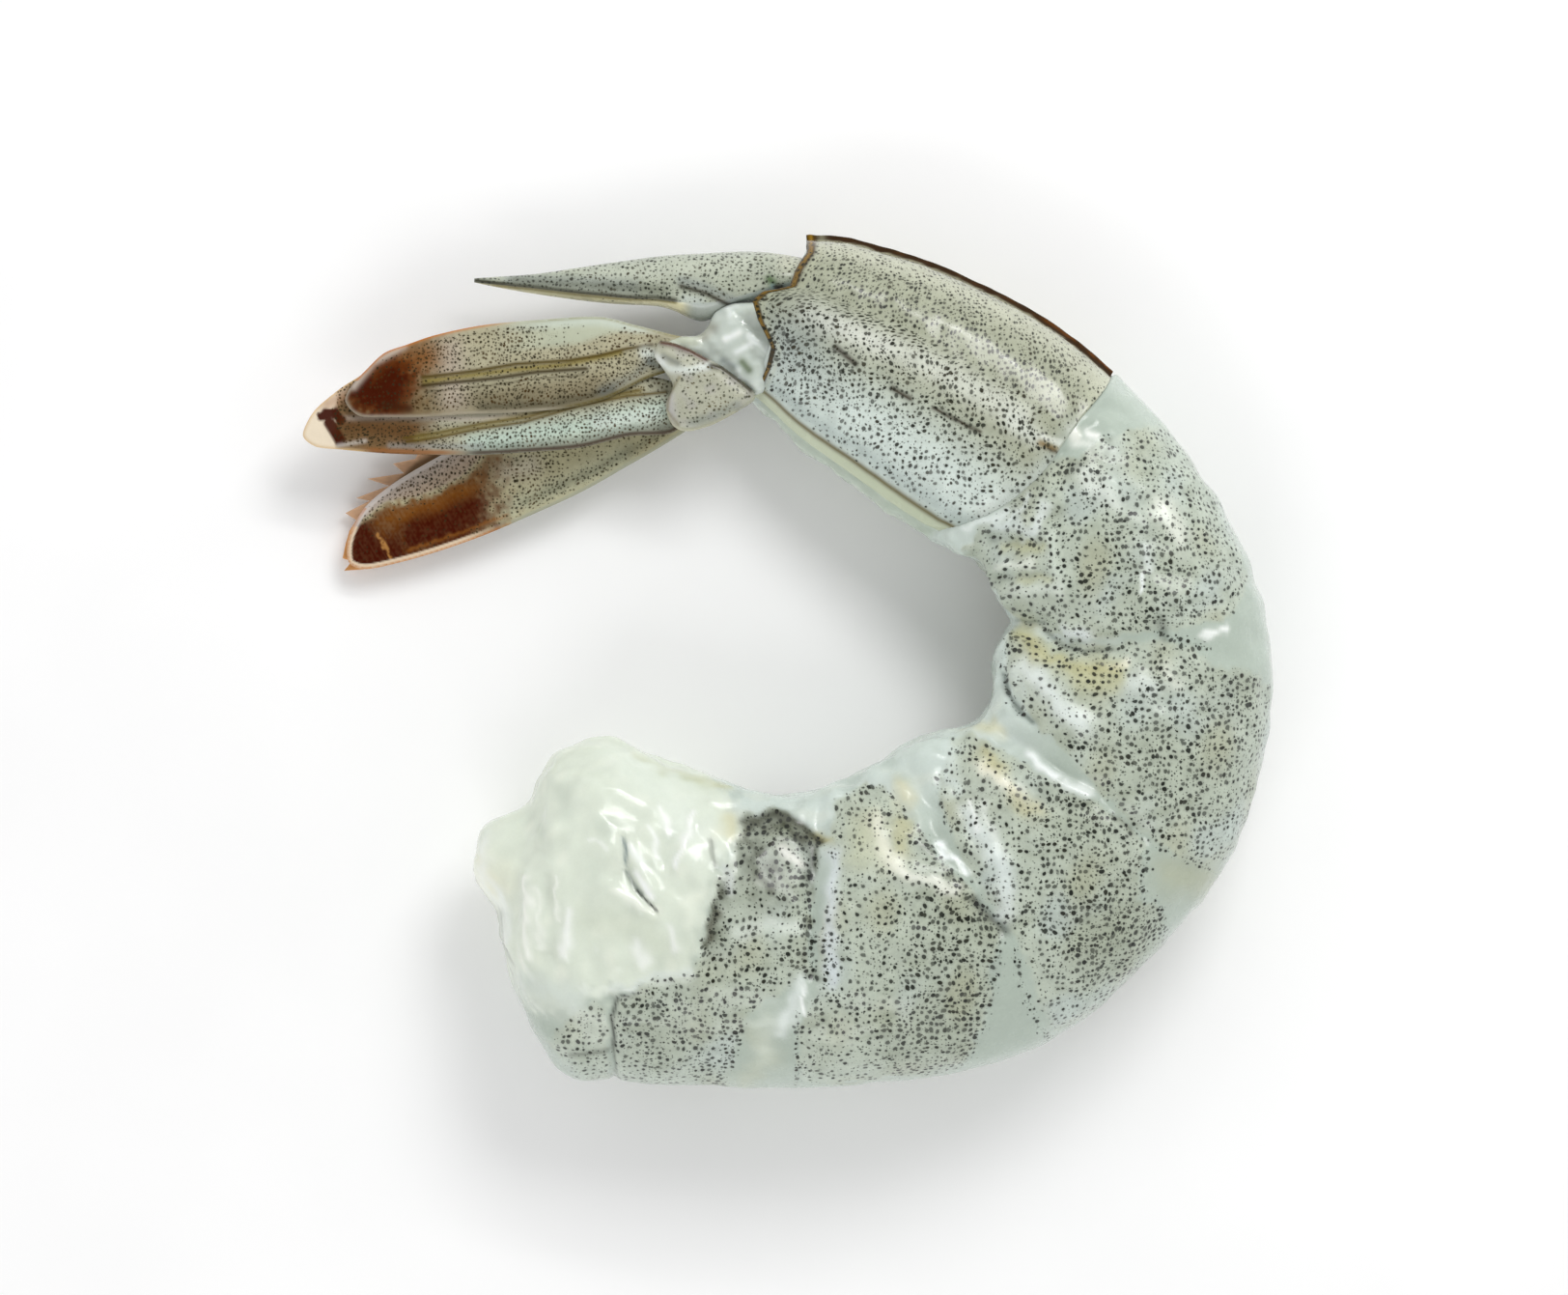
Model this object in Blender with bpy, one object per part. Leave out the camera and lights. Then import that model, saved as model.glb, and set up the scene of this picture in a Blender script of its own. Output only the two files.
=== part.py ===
"""Raw shrimp, head off and peeled, with the last shell segment and the tail fan left on.

The shrimp lies on its far side and curls round an open gap. x and y run across the side that
shows, z runs up through the thickness, and the lowest skin rests at z = 0. The origin is under
the middle of the whole shrimp. Sizes below are in millimetres.
"""
import math

import bpy
import numpy as np
from mathutils import Vector
from mathutils.geometry import delaunay_2d_cdt

MM = 0.001

# Meat stations, cut end first: back x and y, belly x and y, half thickness, height of the middle.
STATIONS = np.array([
    (-20.6, -19.9, -20.6, -19.9, 0.0, 6.0),
    (-19.9, -22.7, -20.4, -16.3, 2.7, 6.1),
    (-18.9, -25.3, -19.9, -13.4, 4.3, 6.4),
    (-17.4, -28.2, -18.8, -11.0, 5.5, 6.7),
    (-15.5, -30.0, -17.7, -8.4, 6.3, 7.0),
    (-13.2, -30.3, -15.8, -6.2, 6.9, 7.2),
    (-10.4, -30.5, -12.8, -5.6, 7.3, 7.5),
    (-6.9, -30.6, -9.7, -6.9, 7.6, 7.7),
    (-2.1, -30.8, -5.3, -8.3, 7.8, 7.8),
    (3.1, -30.7, -0.8, -9.6, 7.9, 7.9),
    (8.0, -30.3, 3.2, -8.7, 7.9, 7.9),
    (12.8, -29.6, 6.6, -7.2, 7.9, 7.9),
    (17.5, -28.1, 9.6, -5.4, 7.9, 7.9),
    (21.7, -25.6, 12.3, -4.7, 7.8, 7.8),
    (25.5, -22.1, 14.1, -3.7, 7.8, 7.8),
    (29.1, -18.2, 14.8, -2.0, 7.7, 7.7),
    (32.2, -13.6, 14.8, -0.5, 7.6, 7.6),
    (34.0, -8.1, 15.0, 1.0, 7.5, 7.5),
    (34.95, -2.3, 15.7, 2.4, 7.3, 7.3),
    (34.3, 3.6, 15.5, 3.6, 7.2, 7.2),
    (32.5, 8.6, 14.7, 5.1, 7.0, 7.0),
    (30.2, 12.7, 13.9, 6.4, 6.8, 6.8),
    (27.0, 17.0, 12.4, 7.2, 6.5, 6.5),
    (23.5, 20.7, 10.3, 8.6, 6.2, 6.2),
    (19.6, 23.9, 7.7, 10.3, 6.0, 6.0),
    (15.1, 26.5, 4.8, 12.4, 5.8, 5.8),
    (9.9, 28.8, 2.2, 14.3, 5.5, 5.5),
    (6.0, 30.0, 0.0, 16.1, 5.2, 5.2),
    (2.6, 30.6, -2.2, 18.3, 4.8, 4.8),
    (1.4, 30.6, -2.6, 18.6, 4.6, 4.6),
    (0.5, 27.2, -3.0, 19.4, 3.5, 4.5),
    (-1.7, 25.3, -4.0, 20.4, 2.9, 4.5),
    (-4.0, 24.9, -5.0, 21.5, 2.1, 4.5),
    (-5.5, 23.3, -5.5, 23.3, 0.0, 4.5),
])
SHELL_FRONT_ROW = 23
SHELL_REAR_ROW = 29
# The shell keeps its full height past its rear row, where the meat inside it narrows.
SHELL_STATIONS = np.vstack([
    STATIONS[:30],
    [(-0.6, 30.6, -4.2, 19.6, 4.3, 4.6), (-2.6, 30.4, -5.8, 20.6, 4.1, 4.6)],
])

EGG = 0.12
SAG = 0.35
RISE = 0.06
SHELL_WALL = 0.40
SHELL_GAP = 0.32

# Shell edges by angle from the back, in degrees: front edge ahead of its row, rear lobe past its row.
SHELL_ANGLES = [0, 20, 40, 58, 70, 77, 85, 97, 112, 127, 143, 158]
FRONT_AHEAD = [0.0, 0.25, 0.5, 0.75, 1.1, 1.35, 1.7, 2.0, 2.1, 1.8, 0.9, 0.0]
REAR_PAST = [0.0, -0.1, -0.35, -0.1, -0.1, 1.6, 2.1, 1.3, -0.3, -0.5, -0.35, -0.2]

# Seams between the body segments, from the belly edge to the hinge point half way up the side.
SEAMS = [
    [(2.4, -10.3), (2.1, -13.1), (1.7, -17.9), (1.9, -22.1)],
    [(9.0, -8.2), (10.1, -10.3), (10.8, -13.1), (12.8, -14.4), (15.3, -19.0)],
    [(15.6, -5.4), (17.4, -6.5), (19.8, -8.2), (21.9, -9.2), (25.3, -12.4)],
    [(16.3, 2.7), (18.1, 2.4), (19.8, 1.0), (23.3, 0.7), (26.4, 1.9)],
    [(13.5, 7.1), (15.6, 9.9), (19.1, 14.7), (21.9, 16.8), (24.0, 19.6)],
]
SEAM_DEPTH = 0.55
SEAM_WIDTH = 0.9
# Soft swellings and hollows on the sides: x, y, radius, height.
SWELLINGS = [
    (-2.4, -13.8, 3.6, 0.35), (7.2, -12.6, 3.0, 0.50), (15.4, -10.0, 2.8, 0.50),
    (19.6, -2.6, 2.8, 0.50), (18.2, 5.4, 3.0, 0.45), (-13.5, -12.0, 3.4, 0.45),
    (-10.5, -21.0, 3.0, -0.35), (-1.0, -27.2, 2.2, -0.25), (15.6, -25.6, 2.4, -0.25),
    (27.4, -17.2, 2.4, -0.25), (31.0, 1.2, 2.4, -0.25), (24.0, 18.2, 2.0, -0.20),
]
# Lump of soft yellow tissue left at the cut end: centre, radius, height.
LUMP = (-20.1, -14.4, 6.4, 3.1, 2.1)


def natural(k, rows, t):
    """Natural cubic spline through rows at knots k, read at the places t."""
    n = len(k)
    h = np.diff(k)
    a = np.eye(n)
    b = np.zeros((n, rows.shape[1]))
    for i in range(1, n - 1):
        a[i, i - 1:i + 2] = h[i - 1], 2 * (h[i - 1] + h[i]), h[i]
        b[i] = 6 * ((rows[i + 1] - rows[i]) / h[i] - (rows[i] - rows[i - 1]) / h[i - 1])
    m = np.linalg.solve(a, b)
    i = np.clip(np.searchsorted(k, t) - 1, 0, n - 2)
    p = ((k[i + 1] - t) / h[i])[:, None]
    q = ((t - k[i]) / h[i])[:, None]
    bend = ((p ** 3 - p) * m[i] + (q ** 3 - q) * m[i + 1]) * (h[i] ** 2)[:, None] / 6
    return p * rows[i] + q * rows[i + 1] + bend


def knots(rows):
    middle = (rows[:, 0:2] + rows[:, 2:4]) / 2
    return np.concatenate([[0], np.cumsum(np.linalg.norm(np.diff(middle, axis=0), axis=1))])


def skin(rows, s, angle):
    """Points of the plain body skin at lengths s and angles from the back (radians)."""
    s, angle = np.broadcast_arrays(s, angle)
    v = natural(knots(rows), rows, s.ravel()).reshape(s.shape + (6,))
    c, n = np.cos(angle), np.sin(angle)
    flat = (v[..., 0:2] + v[..., 2:4]) / 2 + (v[..., 0:2] - v[..., 2:4]) / 2 * c[..., None]
    z = v[..., 5] + v[..., 4] * n * (1 + EGG * c)
    return np.concatenate([flat, z[..., None]], axis=-1)


def normals(rows, s, angle):
    """Outward directions of the plain skin, by small steps either way."""
    along = skin(rows, s + 0.02, angle) - skin(rows, s - 0.02, angle)
    around = skin(rows, s, angle + 0.01) - skin(rows, s, angle - 0.01)
    n = np.cross(along, around)
    return n / np.maximum(np.linalg.norm(n, axis=-1, keepdims=True), 1e-9)


def segment_distance(points, a, b):
    a, b = np.asarray(a, float), np.asarray(b, float)
    t = np.clip(((points - a) @ (b - a)) / max((b - a) @ (b - a), 1e-12), 0, 1)
    return np.linalg.norm(points - a - t[..., None] * (b - a), axis=-1)


def line_distance(points, line):
    return np.min([segment_distance(points, a, b) for a, b in zip(line[:-1], line[1:])], axis=0)


def smooth(x, low, high):
    t = np.clip((x - low) / (high - low), 0, 1)
    return t * t * (3 - 2 * t)


def shell_front(angle):
    """Length at which the shell starts, for angles from the back."""
    turn = np.degrees(np.abs(angle))
    return knots(STATIONS)[SHELL_FRONT_ROW] - np.interp(turn, SHELL_ANGLES, FRONT_AHEAD)


def shell_rear(angle):
    turn = np.degrees(np.abs(angle))
    return knots(STATIONS)[SHELL_REAR_ROW] + np.interp(turn, SHELL_ANGLES, REAR_PAST)


def settle(s):
    """The soft meat sinks and flattens where it rests; the stiff shell does not."""
    start = knots(STATIONS)[SHELL_FRONT_ROW]
    sunk = smooth(s, 4, 12) * (1 - smooth(s, start - 9, start - 3))
    return RISE * smooth(s, start - 9, start - 3) - SAG * sunk


def relief(p, s, angle):
    """How far the meat stands off the plain skin: seams, swellings, belly groove, shell seat."""
    flat = p[..., 0:2]
    side = np.abs(np.sin(angle)) ** 0.5
    lift = np.zeros(s.shape)
    for line in SEAMS:
        lift -= SEAM_DEPTH * np.exp(-(line_distance(flat, line) / SEAM_WIDTH) ** 2) * side
    for x, y, radius, height in SWELLINGS:
        lift += height * np.exp(-(((flat - (x, y)) ** 2).sum(-1)) / radius ** 2) * side
    belly = 180 - np.abs(np.degrees(angle))
    front = shell_front(angle)
    pair = smooth(s, 14, 22) * (1 - smooth(s, front - 5, front))
    lift += pair * (0.45 * np.exp(-((belly - 27) / 13) ** 2) - 0.5 * np.exp(-(belly / 12) ** 2))
    x, y, z, radius, height = LUMP
    lift += height * np.exp(-((((p - (x, y, z)) ** 2).sum(-1)) / radius ** 2) ** 2)
    seat = smooth(s, front - 1.3, front - 0.5) * smooth(belly, 9, 17)
    return lift * (1 - seat) - (SHELL_WALL + SHELL_GAP) * seat


def add_body(name, verts, faces, colour, roughness):
    """One named closed body in metres, with its own plain material."""
    mesh = bpy.data.meshes.new(name)
    mesh.from_pydata([tuple(v) for v in np.asarray(verts) * MM], [], faces)
    mesh.update()
    material = bpy.data.materials.new(name)
    material.use_nodes = True
    shader = material.node_tree.nodes["Principled BSDF"]
    shader.inputs["Base Color"].default_value = (*colour, 1)
    shader.inputs["Roughness"].default_value = roughness
    mesh.materials.append(material)
    body = bpy.data.objects.new(name, mesh)
    bpy.context.scene.collection.objects.link(body)
    return body


def loft(rings, first, last):
    """Closed skin over rings of points, with one point at each end."""
    n, m = rings.shape[:2]
    verts = np.vstack([rings.reshape(-1, 3), first, last])
    faces = []
    for i in range(n - 1):
        for j in range(m):
            a, b = i * m + j, i * m + (j + 1) % m
            faces += [(a, b, b + m), (a, b + m, a + m)]
    for j in range(m):
        faces.append((n * m, (j + 1) % m, j))
        faces.append((n * m + 1, (n - 1) * m + j, (n - 1) * m + (j + 1) % m))
    return verts, faces


def meat():
    """The peeled meat, from the cut end to the soft joint behind the shell."""
    end = knots(STATIONS)[-1]
    cut_end = np.linspace(0.45, 6.0, 7)
    joint = end - np.array([4.7, 4.0, 3.3, 2.6, 1.9, 1.2, 0.6, 0.25])
    s = np.concatenate([cut_end, np.linspace(7.3, end - 5.6, 66), joint])
    around = 40
    angle = -math.pi + (np.arange(around) + 0.5) * 2 * math.pi / around
    s, angle = np.meshgrid(s, angle, indexing="ij")
    p = skin(STATIONS, s, angle)
    p = p + relief(p, s, angle)[..., None] * normals(STATIONS, s, angle)
    p[..., 2] = np.maximum(p[..., 2] + settle(s), 0)
    first = (*STATIONS[0, 0:2], STATIONS[0, 5])
    last = (*STATIONS[-1, 0:2], STATIONS[-1, 5] + RISE)
    return loft(p[:, ::-1], first, last)


def shell():
    """Last body segment of the shell: a thin sleeve, open along the belly."""
    half = np.radians(np.array(SHELL_ANGLES, float))
    columns = np.concatenate([-half[:0:-1], half])
    rows = 14
    t = np.linspace(0, 1, rows + 1)[:, None]
    s = shell_front(columns)[None, :] * (1 - t) + shell_rear(columns)[None, :] * t
    angle = np.broadcast_to(columns, s.shape)
    outer = skin(SHELL_STATIONS, s, angle)
    inner = outer - SHELL_WALL * normals(SHELL_STATIONS, s, angle)
    outer[..., 2] += RISE
    inner[..., 2] += RISE
    n, m = s.shape
    count = n * m
    faces = []
    for i in range(n - 1):
        for j in range(m - 1):
            a, b, c, d = i * m + j, i * m + j + 1, (i + 1) * m + j + 1, (i + 1) * m + j
            faces += [(a, c, b), (a, d, c)]
            faces += [(a + count, b + count, c + count), (a + count, c + count, d + count)]
    rim = [j for j in range(m)] + [i * m + m - 1 for i in range(1, n)]
    rim += [(n - 1) * m + j for j in range(m - 2, -1, -1)] + [i * m for i in range(n - 2, 0, -1)]
    for a, b in zip(rim, rim[1:] + rim[:1]):
        faces += [(a, b, b + count), (a, b + count, a + count)]
    return np.vstack([outer.reshape(-1, 3), inner.reshape(-1, 3)]), faces


# Tail spike stations, tip first: x and y of its back, side ridge and underside, then half thickness.
SPIKE = np.array([
    (-22.6, 27.5, -22.6, 27.35, -22.6, 27.2, 0.12),
    (-21.2, 27.6, -21.2, 27.2, -21.2, 26.9, 0.35),
    (-18.4, 27.8, -18.4, 26.9, -18.4, 26.4, 0.8),
    (-14.9, 28.3, -14.9, 26.5, -14.9, 25.9, 1.25),
    (-11.5, 28.8, -11.5, 26.1, -11.5, 25.6, 1.65),
    (-8.0, 29.2, -8.0, 25.8, -8.0, 25.1, 2.05),
    (-6.0, 29.3, -6.0, 25.7, -6.0, 24.4, 2.3),
    (-4.4, 29.4, -4.4, 25.9, -4.4, 25.1, 2.5),
    (-1.7, 29.4, -2.0, 26.6, -2.3, 25.8, 2.7),
    (0.7, 28.8, 0.1, 27.2, -0.3, 26.4, 2.5),
])
SPIKE_HEIGHT = 4.5


def spike():
    """The tail spike: a long tapering body, widest at its side ridges."""
    along = np.concatenate([[0], np.cumsum(np.linalg.norm(np.diff(SPIKE[:, 2:4], axis=0), axis=1))])
    s = np.linspace(0, along[-1], 22)
    v = natural(along, SPIKE, s)
    angle = np.arange(16) * 2 * math.pi / 16
    rings = []
    for row in v:
        back, ridge, under, half = row[0:2], row[2:4], row[4:6], row[6]
        ring = []
        for a in angle:
            edge = back if math.cos(a) > 0 else under
            x, y = ridge + (edge - ridge) * abs(math.cos(a))
            ring.append((x, y, SPIKE_HEIGHT + half * math.sin(a)))
        rings.append(ring)
    rings = np.array(rings)
    return loft(rings, rings[0].mean(axis=0), rings[-1].mean(axis=0))


def curve(points, spacing):
    """Closed smooth curve through points, evenly stepped."""
    p = np.asarray(points, float)
    n = len(p)
    out = []
    for i in range(n):
        a, b, c, d = p[i - 1], p[i], p[(i + 1) % n], p[(i + 2) % n]
        length = np.linalg.norm(c - b)
        steps = max(1, round(length / spacing))
        ta = 0.5 * (c - a) * min(1, 2 * length / (length + np.linalg.norm(b - a)))
        tb = 0.5 * (d - b) * min(1, 2 * length / (length + np.linalg.norm(d - c)))
        for k in range(steps):
            t = k / steps
            out.append((2 * t ** 3 - 3 * t ** 2 + 1) * b + (t ** 3 - 2 * t ** 2 + t) * ta
                       + (3 * t ** 2 - 2 * t ** 3) * c + (t ** 3 - t ** 2) * tb)
    return np.array(out)


def inside(points, outline):
    hit = np.zeros(len(points), bool)
    for a, b in zip(outline, np.roll(outline, -1, axis=0)):
        crosses = (a[1] > points[:, 1]) != (b[1] > points[:, 1])
        rise = b[1] - a[1] if b[1] != a[1] else 1e-12
        hit ^= crosses & (points[:, 0] < (b[0] - a[0]) * (points[:, 1] - a[1]) / rise + a[0])
    return hit


def leaf(outline, axis, heights, edge, middle, reach, spacing):
    """Closed thin body over an outline: edge is its thickness at the rim, middle its greatest.

    axis is the line from the root to the tip, and heights the height at its root, third and tip.
    """
    low, high = outline.min(axis=0), outline.max(axis=0)
    grid = []
    for row, y in enumerate(np.arange(low[1], high[1], spacing * 0.866)):
        grid += [(x + spacing * 0.5 * (row % 2), y) for x in np.arange(low[0], high[0], spacing)]
    grid = np.array(grid)
    ring = list(outline) + [outline[0]]
    grid = grid[inside(grid, outline) & (line_distance(grid, ring) > spacing * 0.55)]
    flat = np.vstack([outline, grid])
    border = list(range(len(outline)))
    edges = list(zip(border, border[1:] + border[:1]))
    done = delaunay_2d_cdt([Vector(p) for p in flat], edges, [border], 1, 1e-6)
    flat = np.array([tuple(p) for p in done[0]])
    triangles = [tuple(f) for f in done[2]]
    root, tip = np.array(axis[0]), np.array(axis[1])
    t = ((flat - root) @ (tip - root)) / ((tip - root) @ (tip - root))
    centre = np.interp(t, [0, 0.33, 1], heights)
    depth = np.clip(line_distance(flat, ring) / reach, 0, 1)
    thick = edge + (middle - edge) * np.sqrt(1 - (1 - depth) ** 2)
    n = len(flat)
    top = np.column_stack([flat, centre + thick / 2])
    bottom = np.column_stack([flat, centre - thick / 2])
    faces, sides = [], {}
    for a, b, c in triangles:
        u, v = flat[b] - flat[a], flat[c] - flat[a]
        if u[0] * v[1] - u[1] * v[0] < 0:
            b, c = c, b
        faces += [(a, b, c), (a + n, c + n, b + n)]
        for pair in ((a, b), (b, c), (c, a)):
            sides[pair] = True
    for a, b in sides:
        if (b, a) not in sides:
            faces += [(a, a + n, b + n), (a, b + n, b)]
    return np.vstack([top, bottom]), faces


NEAR_INNER = [
    (-5.9, 22.9), (-8.0, 23.3), (-10.8, 24.0), (-13.5, 24.6), (-17.7, 24.4), (-21.9, 24.0), (-25.3, 23.3),
    (-27.4, 22.6), (-29.0, 22.0), (-30.3, 20.8), (-31.4, 19.6), (-31.8, 18.5), (-30.8, 17.5), (-28.8, 17.4),
    (-26.2, 17.4), (-23.1, 17.6), (-19.8, 17.7), (-17.0, 17.9), (-14.9, 18.2), (-12.8, 18.8), (-10.2, 20.1),
    (-8.0, 20.9), (-6.1, 22.2),
]
NEAR_OUTER = [
    (-7.9, 19.7), (-12.2, 20.6), (-18.4, 21.5), (-25.3, 21.5), (-29.5, 21.0), (-31.6, 19.9), (-32.6, 19.2),
    (-34.0, 18.0), (-34.7, 16.9), (-34.9, 16.0), (-34.0, 15.3), (-32.3, 15.1), (-28.8, 14.8), (-25.3, 14.7),
    (-21.9, 14.7), (-18.4, 14.9), (-14.9, 15.2), (-11.5, 16.0), (-7.9, 16.5),
]
FAR_INNER = [
    (-5.6, 19.2), (-9.4, 19.2), (-13.5, 18.8), (-17.7, 17.9), (-21.9, 16.5), (-24.7, 15.0), (-26.7, 13.9),
    (-28.8, 12.6), (-30.6, 11.1), (-31.6, 9.5), (-32.0, 8.1), (-31.8, 6.9), (-30.6, 6.5), (-28.1, 7.0),
    (-25.3, 7.8), (-21.9, 9.0), (-18.4, 10.5), (-14.9, 12.1), (-11.5, 14.0), (-9.4, 15.2), (-7.6, 16.3),
    (-5.7, 17.6),
]
FAR_OUTER_SMOOTH = [
    (-28.6, 7.3), (-25.3, 8.3), (-21.9, 9.5), (-18.4, 11.0), (-14.9, 12.6), (-12.2, 14.2), (-8.7, 16.0),
    (-5.9, 17.5), (-5.9, 19.6), (-9.4, 19.6), (-14.9, 18.9), (-20.5, 17.6), (-24.7, 15.7), (-27.0, 14.7),
]
# Pointed hair tufts on the far outer blade: tip, then the notch beyond it.
TUFTS = [
    (-28.7, 14.2), (-27.9, 13.5), (-30.6, 13.1), (-29.0, 12.6), (-31.4, 11.7), (-30.4, 11.5),
    (-32.2, 10.6), (-31.4, 10.1), (-31.9, 9.3), (-32.2, 8.3), (-32.4, 7.3), (-31.7, 7.1), (-32.3, 6.4),
    (-30.9, 6.5),
]
BASE = [
    (-9.1, 22.8), (-7.3, 22.4), (-5.6, 21.5), (-4.5, 20.9), (-2.4, 19.2), (-2.4, 18.5), (-4.9, 17.0),
    (-6.6, 16.4), (-7.6, 16.4), (-8.3, 16.9), (-8.7, 18.2), (-8.2, 19.6), (-8.8, 20.7), (-9.5, 21.8),
]


def main():
    for old in list(bpy.data.objects):
        bpy.data.objects.remove(old, do_unlink=True)

    add_body("body", *meat(), (0.62, 0.66, 0.57), 0.35)
    add_body("tail_shell", *shell(), (0.43, 0.46, 0.36), 0.3)
    add_body("telson", *spike(), (0.48, 0.51, 0.42), 0.3)

    near_base = curve(BASE, 1.0)
    far_base = (near_base - near_base.mean(axis=0)) * 0.9 + near_base.mean(axis=0)
    reach = ((-2.4, 18.8), (-8.7, 20.5))
    near = leaf(near_base, reach, (7.3, 7.5, 7.5), 0.8, 2.9, 2.6, 1.1)
    far = leaf(far_base, reach, (1.3, 1.2, 1.15), 0.7, 2.0, 2.6, 1.1)
    add_body("uropod_near_base", *near, (0.42, 0.44, 0.37), 0.3)
    add_body("uropod_far_base", *far, (0.42, 0.44, 0.37), 0.3)

    reach = ((-5.9, 22.5), (-31.8, 18.5))
    blade = leaf(curve(NEAR_INNER, 1.1), reach, (5.7, 7.1, 6.7), 0.3, 0.95, 2.8, 1.25)
    add_body("uropod_near_inner", *blade, (0.32, 0.27, 0.19), 0.3)
    reach = ((-7.9, 18.1), (-34.9, 16.0))
    blade = leaf(curve(NEAR_OUTER, 1.1), reach, (5.7, 5.6, 4.9), 0.3, 0.95, 2.8, 1.25)
    add_body("uropod_near_outer", *blade, (0.30, 0.29, 0.24), 0.3)
    reach = ((-5.6, 18.4), (-31.9, 7.5))
    blade = leaf(curve(FAR_INNER, 1.1), reach, (3.95, 2.9, 1.8), 0.3, 0.9, 2.6, 1.25)
    add_body("uropod_far_inner", *blade, (0.22, 0.14, 0.08), 0.3)

    # The smooth part of the far outer blade stops at its fringe of tufts.
    smooth_part = curve(FAR_OUTER_SMOOTH, 1.1)
    before_fringe = np.array([(-28.7, 5), (0, 5), (0, 22), (-27.0, 22), (-27.1, 14.0)])
    outline = np.vstack([smooth_part[inside(smooth_part, before_fringe)], TUFTS])
    reach = ((-5.9, 18.5), (-32.0, 8.0))
    blade = leaf(outline, reach, (3.0, 1.95, 0.75), 0.3, 0.75, 2.4, 1.25)
    add_body("uropod_far_outer", *blade, (0.45, 0.25, 0.12), 0.35)


main()
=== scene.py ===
"""Looks of the raw shrimp: wet speckled skin, white flesh, brown tail fan, light and camera.

Lengths are in millimetres until a mesh is made. x and y run across the side that shows, and z
runs up through the thickness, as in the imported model.
"""
import math

import bpy
import numpy as np
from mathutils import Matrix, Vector
from mathutils.geometry import delaunay_2d_cdt


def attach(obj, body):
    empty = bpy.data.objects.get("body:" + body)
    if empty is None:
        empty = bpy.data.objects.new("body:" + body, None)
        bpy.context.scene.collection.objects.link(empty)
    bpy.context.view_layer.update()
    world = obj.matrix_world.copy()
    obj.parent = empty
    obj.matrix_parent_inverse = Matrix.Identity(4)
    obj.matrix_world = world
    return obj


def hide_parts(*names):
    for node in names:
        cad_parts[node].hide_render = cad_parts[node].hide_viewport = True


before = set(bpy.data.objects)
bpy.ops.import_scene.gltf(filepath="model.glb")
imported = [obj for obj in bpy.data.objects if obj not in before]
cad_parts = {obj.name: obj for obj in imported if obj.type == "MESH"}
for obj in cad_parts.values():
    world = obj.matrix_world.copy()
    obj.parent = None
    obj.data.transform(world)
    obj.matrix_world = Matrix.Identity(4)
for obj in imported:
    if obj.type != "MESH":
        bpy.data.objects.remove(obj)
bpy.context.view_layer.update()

MM = 0.001
# Mesh divisions: along and round the meat, the shell and the spike, then the blades' spacing.
MEAT_MESH = ((480, 204))
SHELL_MESH = ((170, 261))
SPIKE_MESH = ((180, 120))
LEAF_SPACING = 0.13

# Body shape: the same stations as the solid, cut end first.
# Back x and y, belly x and y, half thickness, height of the middle.
STATIONS = np.array([
    (-20.6, -19.9, -20.6, -19.9, 0.0, 6.0),
    (-19.9, -22.7, -20.4, -16.3, 2.7, 6.1),
    (-18.9, -25.3, -19.9, -13.4, 4.3, 6.4),
    (-17.4, -28.2, -18.8, -11.0, 5.5, 6.7),
    (-15.5, -30.0, -17.7, -8.4, 6.3, 7.0),
    (-13.2, -30.3, -15.8, -6.2, 6.9, 7.2),
    (-10.4, -30.5, -12.8, -5.6, 7.3, 7.5),
    (-6.9, -30.6, -9.7, -6.9, 7.6, 7.7),
    (-2.1, -30.8, -5.3, -8.3, 7.8, 7.8),
    (3.1, -30.7, -0.8, -9.6, 7.9, 7.9),
    (8.0, -30.3, 3.2, -8.7, 7.9, 7.9),
    (12.8, -29.6, 6.6, -7.2, 7.9, 7.9),
    (17.5, -28.1, 9.6, -5.4, 7.9, 7.9),
    (21.7, -25.6, 12.3, -4.7, 7.8, 7.8),
    (25.5, -22.1, 14.1, -3.7, 7.8, 7.8),
    (29.1, -18.2, 14.8, -2.0, 7.7, 7.7),
    (32.2, -13.6, 14.8, -0.5, 7.6, 7.6),
    (34.0, -8.1, 15.0, 1.0, 7.5, 7.5),
    (34.95, -2.3, 15.7, 2.4, 7.3, 7.3),
    (34.3, 3.6, 15.5, 3.6, 7.2, 7.2),
    (32.5, 8.6, 14.7, 5.1, 7.0, 7.0),
    (30.2, 12.7, 13.9, 6.4, 6.8, 6.8),
    (27.0, 17.0, 12.4, 7.2, 6.5, 6.5),
    (23.5, 20.7, 10.3, 8.6, 6.2, 6.2),
    (19.6, 23.9, 7.7, 10.3, 6.0, 6.0),
    (15.1, 26.5, 4.8, 12.4, 5.8, 5.8),
    (9.9, 28.8, 2.2, 14.3, 5.5, 5.5),
    (6.0, 30.0, 0.0, 16.1, 5.2, 5.2),
    (2.6, 30.6, -2.2, 18.3, 4.8, 4.8),
    (1.4, 30.6, -2.6, 18.6, 4.6, 4.6),
    (0.5, 27.2, -3.0, 19.4, 3.5, 4.5),
    (-1.7, 25.3, -4.0, 20.4, 2.9, 4.5),
    (-4.0, 24.9, -5.0, 21.5, 2.1, 4.5),
    (-5.5, 23.3, -5.5, 23.3, 0.0, 4.5),
])
SHELL_FRONT_ROW = 23
SHELL_REAR_ROW = 29
SHELL_STATIONS = np.vstack([
    STATIONS[:30], (-0.6, 30.6, -4.2, 19.6, 4.3, 4.6), (-2.6, 30.4, -5.8, 20.6, 4.1, 4.6),
])

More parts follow.
